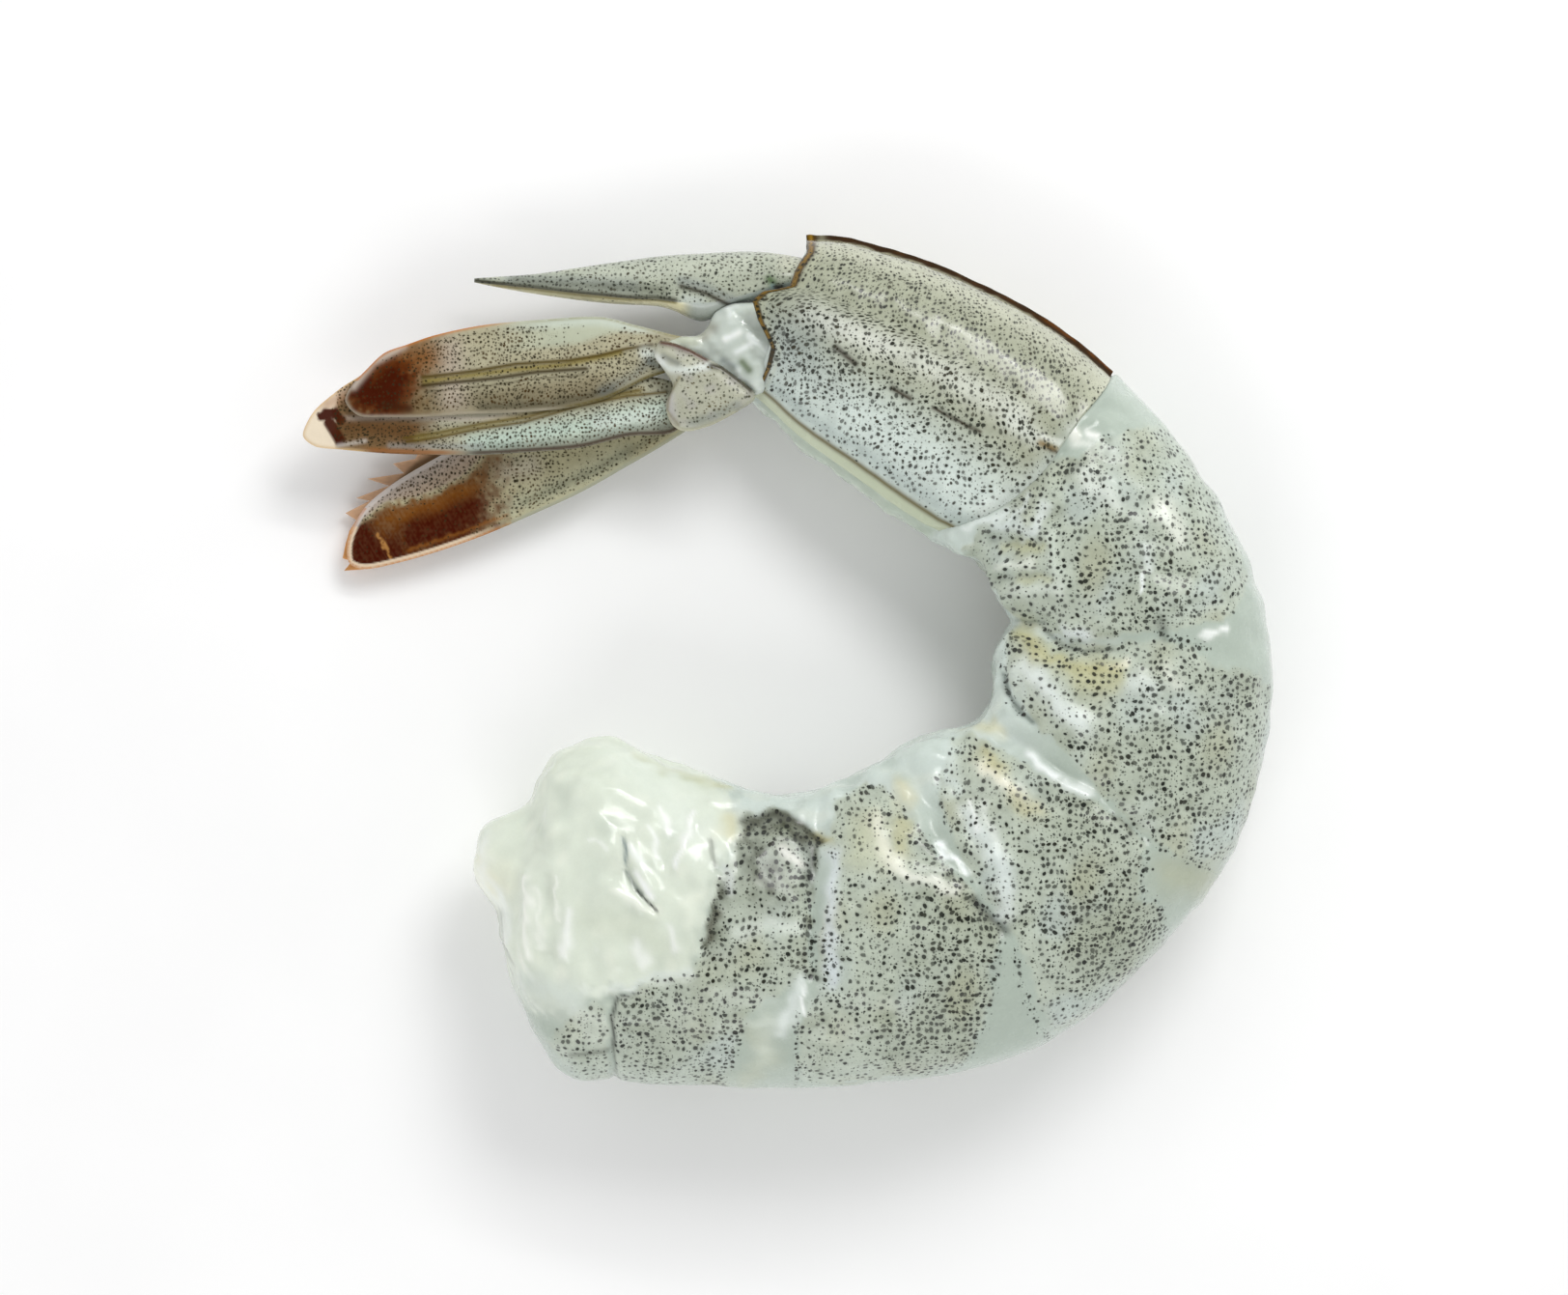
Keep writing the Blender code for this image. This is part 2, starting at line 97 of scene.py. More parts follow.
# Egg shape of the section, how far the meat sags under its weight and how far the tail end is lifted.
EGG = 0.12
SAG = 0.35
RISE = 0.06
SHELL_SEAT = 0.30
SHELL_WALL = 0.20
KEEL_DROP = 0.40
SHELL_RADIUS = 6.4
KEEL_COLOUR_ANGLE = 14
JOINT_WHITE = (204, 214, 207)
SHELL_ANGLES = [0, 20, 40, 58, 70, 77, 85, 97, 112, 127, 143, 158]
FRONT_AHEAD = [0.0, 0.25, 0.5, 0.75, 1.1, 1.35, 1.7, 2.0, 2.1, 1.8, 0.9, 0.0]
REAR_PAST = [0.0, -0.1, -0.35, -0.1, -0.1, 1.6, 2.1, 1.3, -0.3, -0.5, -0.35, -0.2]

SEAMS = [
    [(2.4, -10.3), (2.1, -13.1), (1.7, -17.9), (1.9, -22.1)],
    [(9.0, -8.2), (10.1, -10.3), (10.8, -13.1), (12.8, -14.4), (15.3, -19.0)],
    [(15.6, -5.4), (17.4, -6.5), (19.8, -8.2), (21.9, -9.2), (25.3, -12.4)],
    [(16.3, 2.7), (18.1, 2.4), (19.8, 1.0), (23.3, 0.7), (26.4, 1.9)],
    [(13.5, 7.1), (15.6, 9.9), (19.1, 14.7), (21.9, 16.8), (24.0, 19.6)],
]
SEAM_DEPTH = 0.55
SEAM_WIDTH = 0.75
# Soft swellings and hollows on the sides: x, y, radius, height.
SWELLINGS = [
    (-2.4, -13.8, 3.6, 0.35), (7.2, -12.6, 3.0, 0.50), (15.4, -10.0, 2.8, 0.50),
    (19.6, -2.6, 2.8, 0.50), (18.2, 5.4, 3.0, 0.45), (-13.5, -12.0, 3.4, 0.45),
    (-10.5, -21.0, 3.0, -0.35), (-1.0, -27.2, 2.2, -0.25), (15.6, -25.6, 2.4, -0.25),
    (27.4, -17.2, 2.4, -0.25), (31.0, 1.2, 2.4, -0.25), (24.0, 18.2, 2.0, -0.20),
    (22.9, 12.3, 1.3, 0.40), (27.4, 9.9, 1.3, 0.40), (17.9, -1.6, 0.9, 0.25), (19.9, -4.2, 1.2, 0.30),
    (24.6, -1.9, 0.9, 0.22), (27.0, -1.6, 0.8, 0.20), (14.9, -8.8, 0.9, 0.22), (14.6, -14.4, 1.3, 0.22),
    (-0.7, -12.6, 1.1, 0.30), (-2.2, -16.2, 1.5, 0.25), (-13.2, -17.6, 1.6, 0.35), (-9.7, -20.0, 1.2, 0.3),
    (-8.2, -11.8, 1.2, 0.3), (-17.4, -15.4, 1.8, 0.3), (-15.5, -8.6, 2.2, 0.35),
    (-11.4, -9.0, 1.6, 0.25), (30.2, 6.2, 1.6, 0.18), (22.6, 6.4, 1.8, 0.2), (31.0, -6.0, 2.0, 0.2),
    (25.5, -7.5, 2.2, 0.2), (21.5, -15.0, 2.2, 0.2), (9.2, -20.0, 2.6, 0.2), (4.6, -17.5, 1.8, 0.2),
]
LUMP = (-20.1, -14.4, 6.4, 3.1, 2.1)
# Narrow folds and creases: points, width, height.
FOLDS = [
    ([(6.3, -11.7), (6.9, -14.1), (8.3, -15.1), (11.8, -16.2)], 0.8, 0.28),
    ([(14.1, -7.8), (14.9, -8.5), (16.0, -9.4)], 0.8, 0.28),
    ([(12.8, -11.0), (13.9, -12.5), (14.9, -14.4), (15.6, -16.9)], 0.7, 0.15),
    ([(12.0, -9.6), (12.9, -12.2), (14.0, -14.2)], 0.35, -0.18),
    ([(10.6, -12.9), (11.8, -14.1), (12.8, -15.1)], 0.3, 0.18),
    ([(17.2, -6.7), (18.3, -7.8), (19.1, -8.5)], 0.35, 0.25),
    ([(19.8, -8.8), (21.3, -9.4)], 0.5, 0.2),
    ([(17.4, -0.6), (18.4, -1.9), (19.8, -3.7), (21.0, -4.7)], 0.9, 0.25),
    ([(15.8, -1.2), (16.0, -2.6), (16.7, -3.9), (17.6, -4.6)], 0.35, -0.3),
    ([(15.5, 6.9), (17.6, 6.7)], 0.5, 0.25), ([(16.3, 4.9), (19.4, 5.0)], 0.6, 0.22),
    ([(15.6, 5.9), (18.8, 5.8)], 0.35, -0.22), ([(14.9, 9.5), (17.4, 9.2)], 0.6, 0.22),
    ([(14.6, 8.3), (17.8, 8.2)], 0.4, -0.25), ([(18.8, 8.6), (19.2, 6.2)], 0.6, 0.18),
    ([(25.1, 6.0), (25.1, 4.4)], 0.35, 0.15), ([(19.8, 1.9), (21.4, 1.5)], 0.6, 0.2),
    ([(-2.1, -14.4), (-1.0, -13.1), (1.4, -12.7), (2.4, -13.4)], 0.6, 0.2),
    ([(-3.6, -13.4), (-3.3, -15.4), (-4.2, -17.6)], 0.4, -0.16),
    ([(10.6, -10.3), (10.9, -8.2), (11.5, -6.8), (12.6, -5.9)], 0.4, -0.25),
    ([(3.5, -11.0), (4.5, -9.9), (5.9, -9.2), (7.3, -9.6), (8.7, -11.3)], 0.4, -0.22),
    ([(-11.6, -12.7), (-11.4, -14.4), (-10.7, -16.2), (-9.2, -17.9)], 0.28, -0.25),
    ([(-11.2, -13.0), (-10.6, -14.6), (-9.4, -16.4)], 0.4, 0.2),
    ([(-7.9, -14.8), (-7.2, -13.0), (-6.6, -11.0)], 0.3, 0.25), ([(-8.7, -14.4), (-8.0, -12.0)], 0.4, -0.15),
    ([(-18.2, -15.6), (-18.3, -21.0)], 0.5, 0.3), ([(-16.9, -15.6), (-16.8, -20.8)], 0.4, -0.2),
    ([(-15.4, -17.6), (-15.7, -20.9)], 0.6, 0.22), ([(-8.1, -18.8), (-7.7, -20.8)], 0.5, 0.2),
    ([(-12.0, -16.4), (-10.4, -17.5), (-9.0, -18.3)], 0.4, 0.2),
    ([(-19.6, -11.5), (-20.2, -15.6), (-20.0, -20.4)], 0.35, 0.25),
    ([(-12.2, -23.5), (-9.4, -22.7), (-6.5, -22.0), (-5.8, -19.3), (-4.9, -15.5)], 0.4, 0.2),
    ([(-12.3, -23.9), (-12.4, -30.4)], 0.3, -0.3),
    ([(-19.0, -14.2), (-17.6, -12.0), (-16.8, -9.6)], 0.7, -0.2),
    ([(-13.4, -9.0), (-13.0, -13.0)], 0.8, 0.18),
    ([(0.7, -22.8), (1.0, -24.5), (0.4, -26.4)], 0.5, 0.15),
    ([(19.4, 16.5), (20.5, 16.1), (22.0, 15.8)], 0.4, 0.2),
]

# Dark speckled skin, by outline.
PATCHES = [
    [(-3.1, -11.2), (-1.0, -11.0), (1.0, -11.7), (2.6, -12.9), (1.7, -17.9), (1.6, -21.4), (2.1, -22.3),
     (0.3, -22.9), (-2.8, -25.2), (-3.5, -27.3), (-4.4, -31.4), (-12.4, -31.4), (-12.4, -24.2),
     (-10.8, -23.6), (-9.4, -22.6), (-6.5, -22.1), (-5.8, -19.3), (-4.9, -15.5), (-4.0, -14.1)],
    [(3.7, -10.3), (5.9, -9.0), (7.6, -9.6), (8.7, -11.3), (10.1, -13.1), (11.8, -15.1), (13.5, -16.9),
     (15.3, -19.0), (14.4, -21.4), (14.3, -24.9), (13.2, -27.6), (12.0, -29.6), (6.2, -30.2), (1.0, -30.4),
     (0.7, -26.2), (2.1, -22.8), (2.4, -19.3), (2.8, -15.1), (3.0, -11.7)],
    [(11.8, -6.1), (13.2, -5.6), (15.6, -6.5), (18.1, -8.2), (21.9, -10.3), (24.3, -11.7), (25.3, -13.1),
     (25.0, -15.5), (24.7, -16.9), (26.4, -17.6), (26.9, -19.3), (27.0, -21.0), (25.3, -23.4), (23.3, -25.4),
     (19.4, -26.6), (18.0, -25.0), (17.3, -22.8), (16.4, -20.0), (15.3, -18.6), (13.9, -16.5), (12.2, -13.8),
     (11.1, -11.0), (10.8, -8.2)],
    [(16.3, 1.9), (19.8, 1.2), (26.0, 1.2), (28.5, 1.0), (30.2, -0.6), (33.0, -0.9), (34.4, -1.8),
     (35.2, -4.0), (34.4, -9.6), (32.6, -14.0), (29.5, -14.8), (25.7, -12.9), (22.9, -10.3), (20.5, -7.5),
     (17.0, -3.9), (16.0, -1.2)],
    [(12.6, 8.0), (15.2, 10.8), (17.6, 13.2), (19.2, 14.6), (20.6, 14.2), (22.2, 15.2), (24.3, 16.4),
     (26.9, 16.9), (29.4, 14.6), (31.4, 11.0), (32.9, 5.7), (31.5, 2.9), (26.7, 2.1), (20.5, 1.2),
     (16.7, 2.4), (15.3, 5.0)],
    [(-17.0, -27.3), (-14.9, -24.9), (-12.7, -24.5), (-12.7, -31.4), (-14.9, -31.4)],
]
# Where the speckles crowd together (x, y, radius, amount) and where they thin out (negative).
CROWDING = [
    (0.6, -12.2, 2.2, 0.5), (1.0, -16.5, 1.6, 0.5), (1.0, -20.5, 1.6, 0.35), (-8.0, -27.0, 4.0, 0.15),
    (-1.5, -18.6, 2.2, -0.45), (-3.8, -20.0, 2.0, 0.2), (4.6, -14.5, 3.0, -0.3), (8.5, -12.5, 1.6, -0.15),
    (11.5, -18.0, 3.4, 0.35), (14.6, -19.0, 1.4, 0.5), (10.5, -26.5, 4.0, 0.35), (4.0, -26.0, 2.4, -0.1),
    (15.0, -14.0, 2.4, -0.35), (13.0, -8.0, 2.0, -0.15), (20.5, -11.5, 2.6, 0.35), (23.5, -18.6, 3.6, 0.45),
    (18.0, -22.0, 2.2, -0.25), (18.4, -2.6, 3.0, -0.3), (27.0, -7.0, 4.0, 0.25), (32.0, -2.0, 2.0, 0.5),
    (31.5, -9.0, 3.0, 0.1), (24.2, -1.8, 1.2, -0.3), (17.2, 6.0, 2.4, -0.25), (22.5, 9.0, 3.0, 0.05),
    (24.0, 12.2, 2.0, -0.25), (27.6, 9.6, 1.5, -0.2), (26.5, 2.6, 1.2, 0.35), (21.5, 13.2, 1.8, 0.35),
    (29.0, 5.0, 2.4, -0.1), (-14.8, -27.8, 2.6, -0.15), (22.0, -20.6, 3.2, 0.3), (26.6, 6.4, 4.5, 0.25),
    (13.5, -24.0, 2.6, 0.2), (-9.0, -26.5, 3.0, 0.15),
]
BARE = (172, 184, 172)
BARE_BELLY = (202, 213, 206)
SPECKLED = (181, 190, 175)
FLESH = (217, 225, 210)
FLESH_AREA = [
    (-24.0, -12.0), (-20.0, -4.0), (-10.0, -4.6), (-5.6, -7.2), (-4.6, -9.6), (-3.6, -11.4), (-4.2, -14.1),
    (-5.0, -15.5), (-5.9, -19.3), (-6.7, -22.2), (-9.4, -22.8), (-12.2, -23.7), (-17.0, -25.0),
    (-24.0, -22.0),
]
# Painted strokes on the meat: points, width, colour, amount. The near-white ones on the folds, lumps, seams,
# skin edges and the cut end are painted highlights of the wet surface, partly whitish muscle; the yellow and
# olive ones are the meat's own colour.
MEAT_TINTS_AND_HIGHLIGHTS = [
    ([(6.3, -11.7), (6.9, -14.1), (8.3, -15.1)], 0.65, (238, 238, 222), 0.75),
    ([(8.3, -15.1), (10.0, -15.8), (11.8, -16.2)], 0.45, (236, 238, 226), 0.7),
    ([(5.9, -13.0), (6.6, -15.0)], 0.9, (210, 214, 188), 0.4),
    ([(14.1, -7.8), (14.9, -8.5), (16.0, -9.4)], 0.6, (240, 238, 220), 0.75),
    ([(11.8, -6.8), (11.5, -8.2), (11.8, -9.4)], 0.6, (215, 226, 222), 0.5),
    ([(12.8, -11.0), (13.9, -12.5), (14.9, -14.4), (15.6, -16.9), (15.3, -18.3)], 0.75, (216, 225, 222),
     0.65),
    ([(13.0, -10.0), (13.7, -12.0)], 0.2, (236, 240, 236), 0.7),
    ([(14.0, -10.4), (14.6, -12.8)], 0.25, (222, 228, 220), 0.6),
    ([(10.6, -12.9), (11.8, -14.1), (12.8, -15.1)], 0.22, (240, 246, 244), 0.85),
    ([(17.2, -6.7), (18.3, -7.8), (19.1, -8.5)], 0.3, (240, 245, 243), 0.85),
    ([(19.8, -8.8), (20.6, -9.0), (21.3, -9.4)], 0.45, (228, 234, 230), 0.75),
    ([(3.3, -13.8), (3.0, -16.5), (3.0, -20.3), (3.3, -22.8)], 0.5, (212, 220, 224), 0.6),
    ([(-0.3, -13.8), (1.0, -14.4)], 0.4, (228, 228, 220), 0.7),
    ([(-4.4, -14.6), (-4.0, -16.4)], 0.3, (206, 212, 208), 0.6),
    ([(-3.4, -19.4), (-1.6, -18.6), (0.6, -19.0)], 0.7, (208, 216, 206), 0.6),
    ([(17.4, -0.6), (18.4, -1.9), (19.8, -3.7), (21.0, -4.7)], 0.8, (224, 232, 228), 0.7),
    ([(16.6, -1.0), (17.0, -2.6)], 0.5, (214, 224, 218), 0.5),
    ([(19.8, 1.9), (21.4, 1.5)], 0.45, (222, 230, 230), 0.7),
    ([(24.3, -1.6), (25.7, -2.1)], 0.8, (212, 220, 216), 0.5),
    ([(21.3, 13.2), (21.8, 12.2), (23.2, 11.0)], 0.8, (222, 229, 220), 0.65),
    ([(26.6, 10.8), (27.8, 8.6)], 0.8, (226, 230, 218), 0.65),
    ([(12.8, 9.4), (14.5, 9.9), (15.5, 10.6)], 0.3, (226, 234, 230), 0.7),
    ([(14.9, 9.2), (16.2, 10.2), (17.0, 11.4)], 0.3, (224, 232, 228), 0.65),
    ([(16.9, 8.3), (17.8, 9.2), (18.3, 10.4)], 0.25, (224, 232, 226), 0.6),
    ([(20.4, 15.6), (21.6, 15.2)], 0.35, (232, 236, 228), 0.6),
    ([(25.4, 8.0), (25.7, 6.6)], 0.3, (220, 228, 224), 0.5),
    ([(15.6, 6.7), (17.4, 6.7)], 0.45, (226, 232, 220), 0.7),
    ([(16.3, 4.9), (19.4, 5.0)], 0.6, (214, 222, 212), 0.5),
    ([(18.8, 8.6), (19.2, 6.2)], 0.6, (212, 222, 210), 0.5),
    ([(14.9, 9.5), (17.4, 9.2)], 0.6, (208, 218, 216), 0.55),
    ([(17.4, 9.2), (18.4, 11.0)], 0.35, (220, 228, 224), 0.55),
    ([(25.1, 5.9), (25.1, 4.6)], 0.2, (236, 242, 240), 0.8),
    ([(29.5, 1.7), (31.2, 2.1)], 0.22, (240, 244, 240), 0.9),
    ([(26.7, -0.6), (27.4, -1.9)], 0.5, (218, 222, 208), 0.5),
    ([(22.9, -0.8), (24.0, -0.2)], 0.22, (232, 232, 214), 0.8),
    ([(21.5, 16.1), (22.0, 15.8)], 0.35, (240, 242, 236), 0.9),
    ([(19.4, 16.4), (20.5, 16.1)], 0.4, (234, 236, 226), 0.8),
    ([(0.9, -22.6), (0.6, -24.4), (-0.6, -26.2)], 0.6, (222, 230, 225), 0.7),
    ([(1.3, -23.0), (1.2, -25.0)], 0.16, (242, 246, 243), 0.8),
    ([(-2.6, -26.4), (-1.2, -28.4), (-3.0, -30.0)], 0.9, (184, 190, 170), 0.5),
    ([(-1.4, -25.4), (-1.6, -28.4)], 0.9, (204, 212, 198), 0.45),
    ([(27.4, -15.2), (29.6, -15.8)], 1.6, (172, 177, 152), 0.6),
    ([(8.3, -9.0), (8.4, -10.0)], 0.7, (206, 200, 160), 0.5),
    ([(12.8, -4.9), (15.0, -5.1)], 0.6, (208, 204, 166), 0.55),
    ([(8.2, -11.8), (8.1, -13.6)], 0.8, (190, 184, 132), 0.45),
    ([(5.4, -11.6), (5.0, -14.0)], 1.2, (192, 194, 158), 0.35),
    ([(14.2, -6.9), (15.2, -8.0)], 0.6, (188, 180, 124), 0.5),
    ([(16.4, -9.8), (17.4, -10.8)], 0.8, (198, 192, 148), 0.5),
    ([(17.0, 1.9), (18.4, 0.1), (20.5, -0.7), (23.3, -0.9)], 0.75, (184, 181, 132), 0.65),
    ([(20.8, -1.6), (23.0, -1.9)], 0.8, (190, 190, 150), 0.5),
    ([(15.6, 8.0), (18.0, 7.9)], 0.45, (186, 188, 146), 0.5),
    ([(16.8, 5.8), (18.6, 5.7)], 0.35, (184, 186, 146), 0.45),
    ([(-4.3, -12.4), (-4.1, -11.6)], 0.7, (208, 203, 160), 0.55),
    ([(2.1, -12.5), (2.7, -12.9)], 0.4, (170, 160, 96), 0.6),
    ([(-10.6, -6.7), (-8.0, -8.0), (-4.2, -9.3)], 0.4, (184, 187, 146), 0.8),
    ([(-21.6, -13.8), (-20.6, -15.8)], 1.3, (240, 239, 214), 0.8),
    ([(-12.0, -6.8), (-8.0, -10.0), (-6.2, -13.0)], 1.6, (229, 237, 226), 0.5),
    ([(-13.6, -18.4), (-10.4, -19.0), (-8.4, -20.6)], 1.5, (206, 214, 196), 0.5),
    ([(-12.6, -14.6), (-13.4, -16.6)], 1.2, (208, 216, 202), 0.5),
    ([(-18.6, -23.2), (-15.0, -24.2)], 1.1, (208, 218, 212), 0.6),
    ([(-18.2, -15.6), (-18.3, -21.0)], 0.3, (244, 247, 238), 0.75),
    ([(-17.6, -16.4), (-17.5, -20.6)], 0.25, (240, 244, 234), 0.6),
    ([(-16.4, -15.6), (-16.2, -18.6)], 0.15, (242, 246, 236), 0.6),
    ([(-15.4, -18.0), (-15.7, -20.8)], 0.42, (242, 246, 240), 0.75),
    ([(-10.6, -20.4), (-10.0, -21.4)], 0.5, (240, 244, 238), 0.65),
    ([(-8.1, -19.0), (-7.7, -20.6)], 0.32, (238, 242, 236), 0.65),
    ([(-11.8, -16.4), (-10.4, -17.4), (-9.2, -17.9)], 0.3, (238, 242, 230), 0.7),
    ([(-9.0, -10.6), (-8.2, -12.4)], 0.26, (246, 249, 244), 0.8),
    ([(-9.8, -12.0), (-9.0, -13.8)], 0.2, (244, 248, 242), 0.7),
    ([(-11.2, -13.4), (-9.8, -14.9)], 0.3, (242, 247, 242), 0.7),
    ([(-10.6, -15.2), (-9.4, -16.8)], 0.25, (246, 249, 246), 0.8),
    ([(-6.6, -11.0), (-7.2, -13.0), (-7.9, -14.8)], 0.2, (244, 247, 243), 0.75),
    ([(-19.6, -11.5), (-20.2, -15.6), (-20.0, -20.4)], 0.3, (240, 245, 240), 0.6),
    ([(-13.9, -12.9), (-12.6, -13.4)], 0.2, (240, 244, 238), 0.5),
    ([(-12.4, -23.4), (-9.4, -22.6), (-6.6, -22.0)], 0.35, (216, 224, 216), 0.7),
    ([(-18.0, -24.0), (-13.0, -26.0)], 1.4, (204, 211, 198), 0.4),
]
# Dark marks on the meat: points, width, colour, amount.
INK = [
    ([(-11.6, -12.8), (-11.4, -13.6), (-11.5, -14.4)], 0.14, (108, 128, 132), 0.8),
    ([(-11.4, -15.0), (-10.9, -15.9), (-10.2, -16.6)], 0.2, (92, 104, 98), 0.75),
    ([(-10.7, -16.3), (-9.9, -17.0), (-9.2, -17.9)], 0.09, (20, 24, 22), 0.95),
    # The next two marks are a dark line along the skin patch's cut edge and groove: partly the edge's own
    # colour, partly painted shade in the groove.
    ([(-10.8, -23.7), (-12.1, -24.0), (-12.4, -25.4), (-12.3, -27.6)], 0.14, (48, 52, 46), 0.85),
    ([(-12.3, -27.6), (-12.3, -30.6)], 0.1, (80, 86, 76), 0.6),
    ([(-15.4, -28.3), (-12.7, -27.8)], 0.2, (78, 82, 72), 0.6),
    ([(-5.4, -12.9), (-5.1, -14.8)], 0.16, (96, 100, 90), 0.6),
    ([(-3.2, -11.7), (-0.6, -11.4), (1.2, -12.0), (2.4, -12.9)], 0.3, (50, 52, 34), 0.8),
    ([(1.9, -13.4), (1.6, -15.6)], 0.24, (54, 56, 40), 0.7),
    ([(-4.8, -18.0), (-5.4, -19.0), (-5.4, -19.8)], 0.3, (62, 54, 34), 0.6),
    ([(15.8, -1.2), (16.0, -2.6), (16.7, -3.9), (17.4, -4.5)], 0.18, (58, 76, 66), 0.7),
    ([(18.3, 2.0), (19.4, 1.0), (20.8, 0.6), (22.9, 0.7)], 0.14, (62, 74, 66), 0.6),
    ([(14.9, 2.9), (18.1, 2.6)], 0.15, (92, 104, 92), 0.5),
    ([(13.3, -17.0), (14.6, -18.4), (15.4, -19.2)], 0.35, (60, 64, 54), 0.7),
    ([(1.4, -22.3), (2.3, -22.6)], 0.25, (84, 88, 76), 0.5),
    ([(26.4, 2.9), (26.7, 1.4)], 0.35, (84, 92, 80), 0.55),
    ([(23.0, -11.0), (24.4, -12.0)], 0.2, (80, 84, 70), 0.5),
    # Dark crescent on the far edge of the cut end: painted shade where it turns away.
    ([(-20.4, -18.2), (-20.2, -20.4), (-19.7, -21.8)], 0.2, (118, 124, 118), 0.4),
]
# Smoky bands beside the cut: points, width, amount.
SMOKE = [
    ([(-3.2, -12.2), (-0.6, -12.0), (1.8, -13.0)], 0.9, 1.0),
    ([(-2.6, -13.4), (-1.6, -15.2), (-1.2, -16.4)], 1.3, 0.85),
    ([(-4.6, -16.2), (-5.0, -18.2), (-5.7, -20.2)], 0.6, 0.9),
]
# Painted shade in the seam grooves, broken into blotches: points, width, colour, amount.
SEAM_SHADE = [
    ([(2.0, -14.0), (1.4, -18.0), (1.7, -21.8)], 0.6, (92, 96, 74), 0.7),
    ([(9.4, -12.6), (12.0, -15.6), (15.0, -19.0)], 0.5, (96, 100, 80), 0.6),
    ([(20.4, -9.9), (23.0, -11.0), (25.2, -12.6)], 0.5, (104, 108, 90), 0.5),
    ([(20.0, 13.4), (21.6, 14.2), (23.0, 15.6)], 0.6, (104, 112, 98), 0.5),
]
# Chains of dark spots: points, width, amount.
CHAINS = [
    ([(16.0, -20.3), (16.6, -23.0), (17.4, -25.2), (18.8, -27.4)], 0.22, 1.5),
    ([(25.7, -12.9), (27.8, -14.0), (30.2, -15.0)], 0.2, 1.5),
    ([(0.8, -25.0), (0.7, -30.4)], 0.22, 1.5),
    ([(2.3, -12.9), (1.6, -14.5), (1.5, -18.5), (1.8, -21.9)], 0.42, 1.7),
    ([(-3.4, -14.6), (-4.9, -18.0), (-6.0, -21.4)], 0.3, 1.5),
    ([(-4.2, -20.6), (-2.4, -22.0), (0.2, -22.8)], 0.3, 1.4),
    ([(9.0, -12.2), (11.2, -15.0), (13.2, -17.2), (15.2, -19.2)], 0.55, 1.6),
    ([(10.6, -8.6), (10.9, -10.2), (11.8, -11.9), (13.0, -14.0)], 0.3, 1.4),
    ([(20.0, -9.8), (22.6, -11.0), (24.8, -12.9)], 0.45, 1.4),
    ([(18.3, 2.0), (19.4, 1.0), (20.8, 0.6), (22.9, 0.7)], 0.3, 1.5),
    ([(26.2, 3.4), (26.5, 1.8), (27.8, 1.3), (29.6, 0.7)], 0.35, 1.5),
    ([(16.4, 1.6), (15.9, -0.8), (16.0, -2.6), (16.7, -3.9)], 0.3, 1.5),
    ([(19.6, 13.0), (21.4, 13.9), (22.6, 15.4)], 0.5, 1.4),
    ([(4.5, -10.0), (5.9, -9.4), (7.3, -9.7), (8.4, -11.2)], 0.3, 1.3),
    ([(1.4, -22.3), (2.6, -22.9), (4.2, -24.2)], 0.3, 1.5),
    ([(-3.4, -26.2), (-4.2, -28.4), (-5.0, -30.2)], 0.5, 1.5),
    ([(14.8, -20.0), (14.6, -22.4), (13.8, -26.0), (12.4, -28.4)], 0.5, 1.4),
    ([(25.4, -14.0), (25.0, -16.4), (26.6, -18.0), (26.8, -20.6)], 0.45, 1.4),
]


def rgb(colour):
    """Linear colour from display values 0 to 255."""
    c = np.asarray(colour, float) / 255
    return np.where(c <= 0.04045, c / 12.92, ((c + 0.055) / 1.055) ** 2.4)


def natural(k, rows, t):
    """Natural cubic spline through rows at knots k, read at the places t."""
    n = len(k)
    h = np.diff(k)
    a = np.eye(n)
    b = np.zeros((n, rows.shape[1]))
    for i in range(1, n - 1):
        a[i, i - 1:i + 2] = h[i - 1], 2 * (h[i - 1] + h[i]), h[i]
        b[i] = 6 * ((rows[i + 1] - rows[i]) / h[i] - (rows[i] - rows[i - 1]) / h[i - 1])
    m = np.linalg.solve(a, b)
    i = np.clip(np.searchsorted(k, t) - 1, 0, n - 2)
    p = ((k[i + 1] - t) / h[i])[:, None]
    q = ((t - k[i]) / h[i])[:, None]
    bend = ((p ** 3 - p) * m[i] + (q ** 3 - q) * m[i + 1]) * (h[i] ** 2)[:, None] / 6
    return p * rows[i] + q * rows[i + 1] + bend


def knots(rows):
    middle = (rows[:, 0:2] + rows[:, 2:4]) / 2
    return np.concatenate([[0], np.cumsum(np.linalg.norm(np.diff(middle, axis=0), axis=1))])


def skin(rows, s, angle):
    """Points of the plain body skin at lengths s and angles from the back (radians)."""
    s, angle = np.broadcast_arrays(s, angle)
    v = natural(knots(rows), rows, s.ravel()).reshape(s.shape + (6,))
    c, n = np.cos(angle), np.sin(angle)
    flat = (v[..., 0:2] + v[..., 2:4]) / 2 + (v[..., 0:2] - v[..., 2:4]) / 2 * c[..., None]
    z = v[..., 5] + v[..., 4] * n * (1 + EGG * c)
    return np.concatenate([flat, z[..., None]], axis=-1)


def normals(rows, s, angle):
    along = skin(rows, s + 0.02, angle) - skin(rows, s - 0.02, angle)
    around = skin(rows, s, angle + 0.01) - skin(rows, s, angle - 0.01)
    n = np.cross(along, around)
    return n / np.maximum(np.linalg.norm(n, axis=-1, keepdims=True), 1e-9)


def segment_distance(points, a, b):
    a, b = np.asarray(a, float), np.asarray(b, float)
    t = np.clip(((points - a) @ (b - a)) / max((b - a) @ (b - a), 1e-12), 0, 1)
    return np.linalg.norm(points - a - t[..., None] * (b - a), axis=-1)


def line_distance(points, line):
    best = segment_distance(points, line[0], line[1])
    for a, b in zip(line[1:-1], line[2:]):
        best = np.minimum(best, segment_distance(points, a, b))
    return best


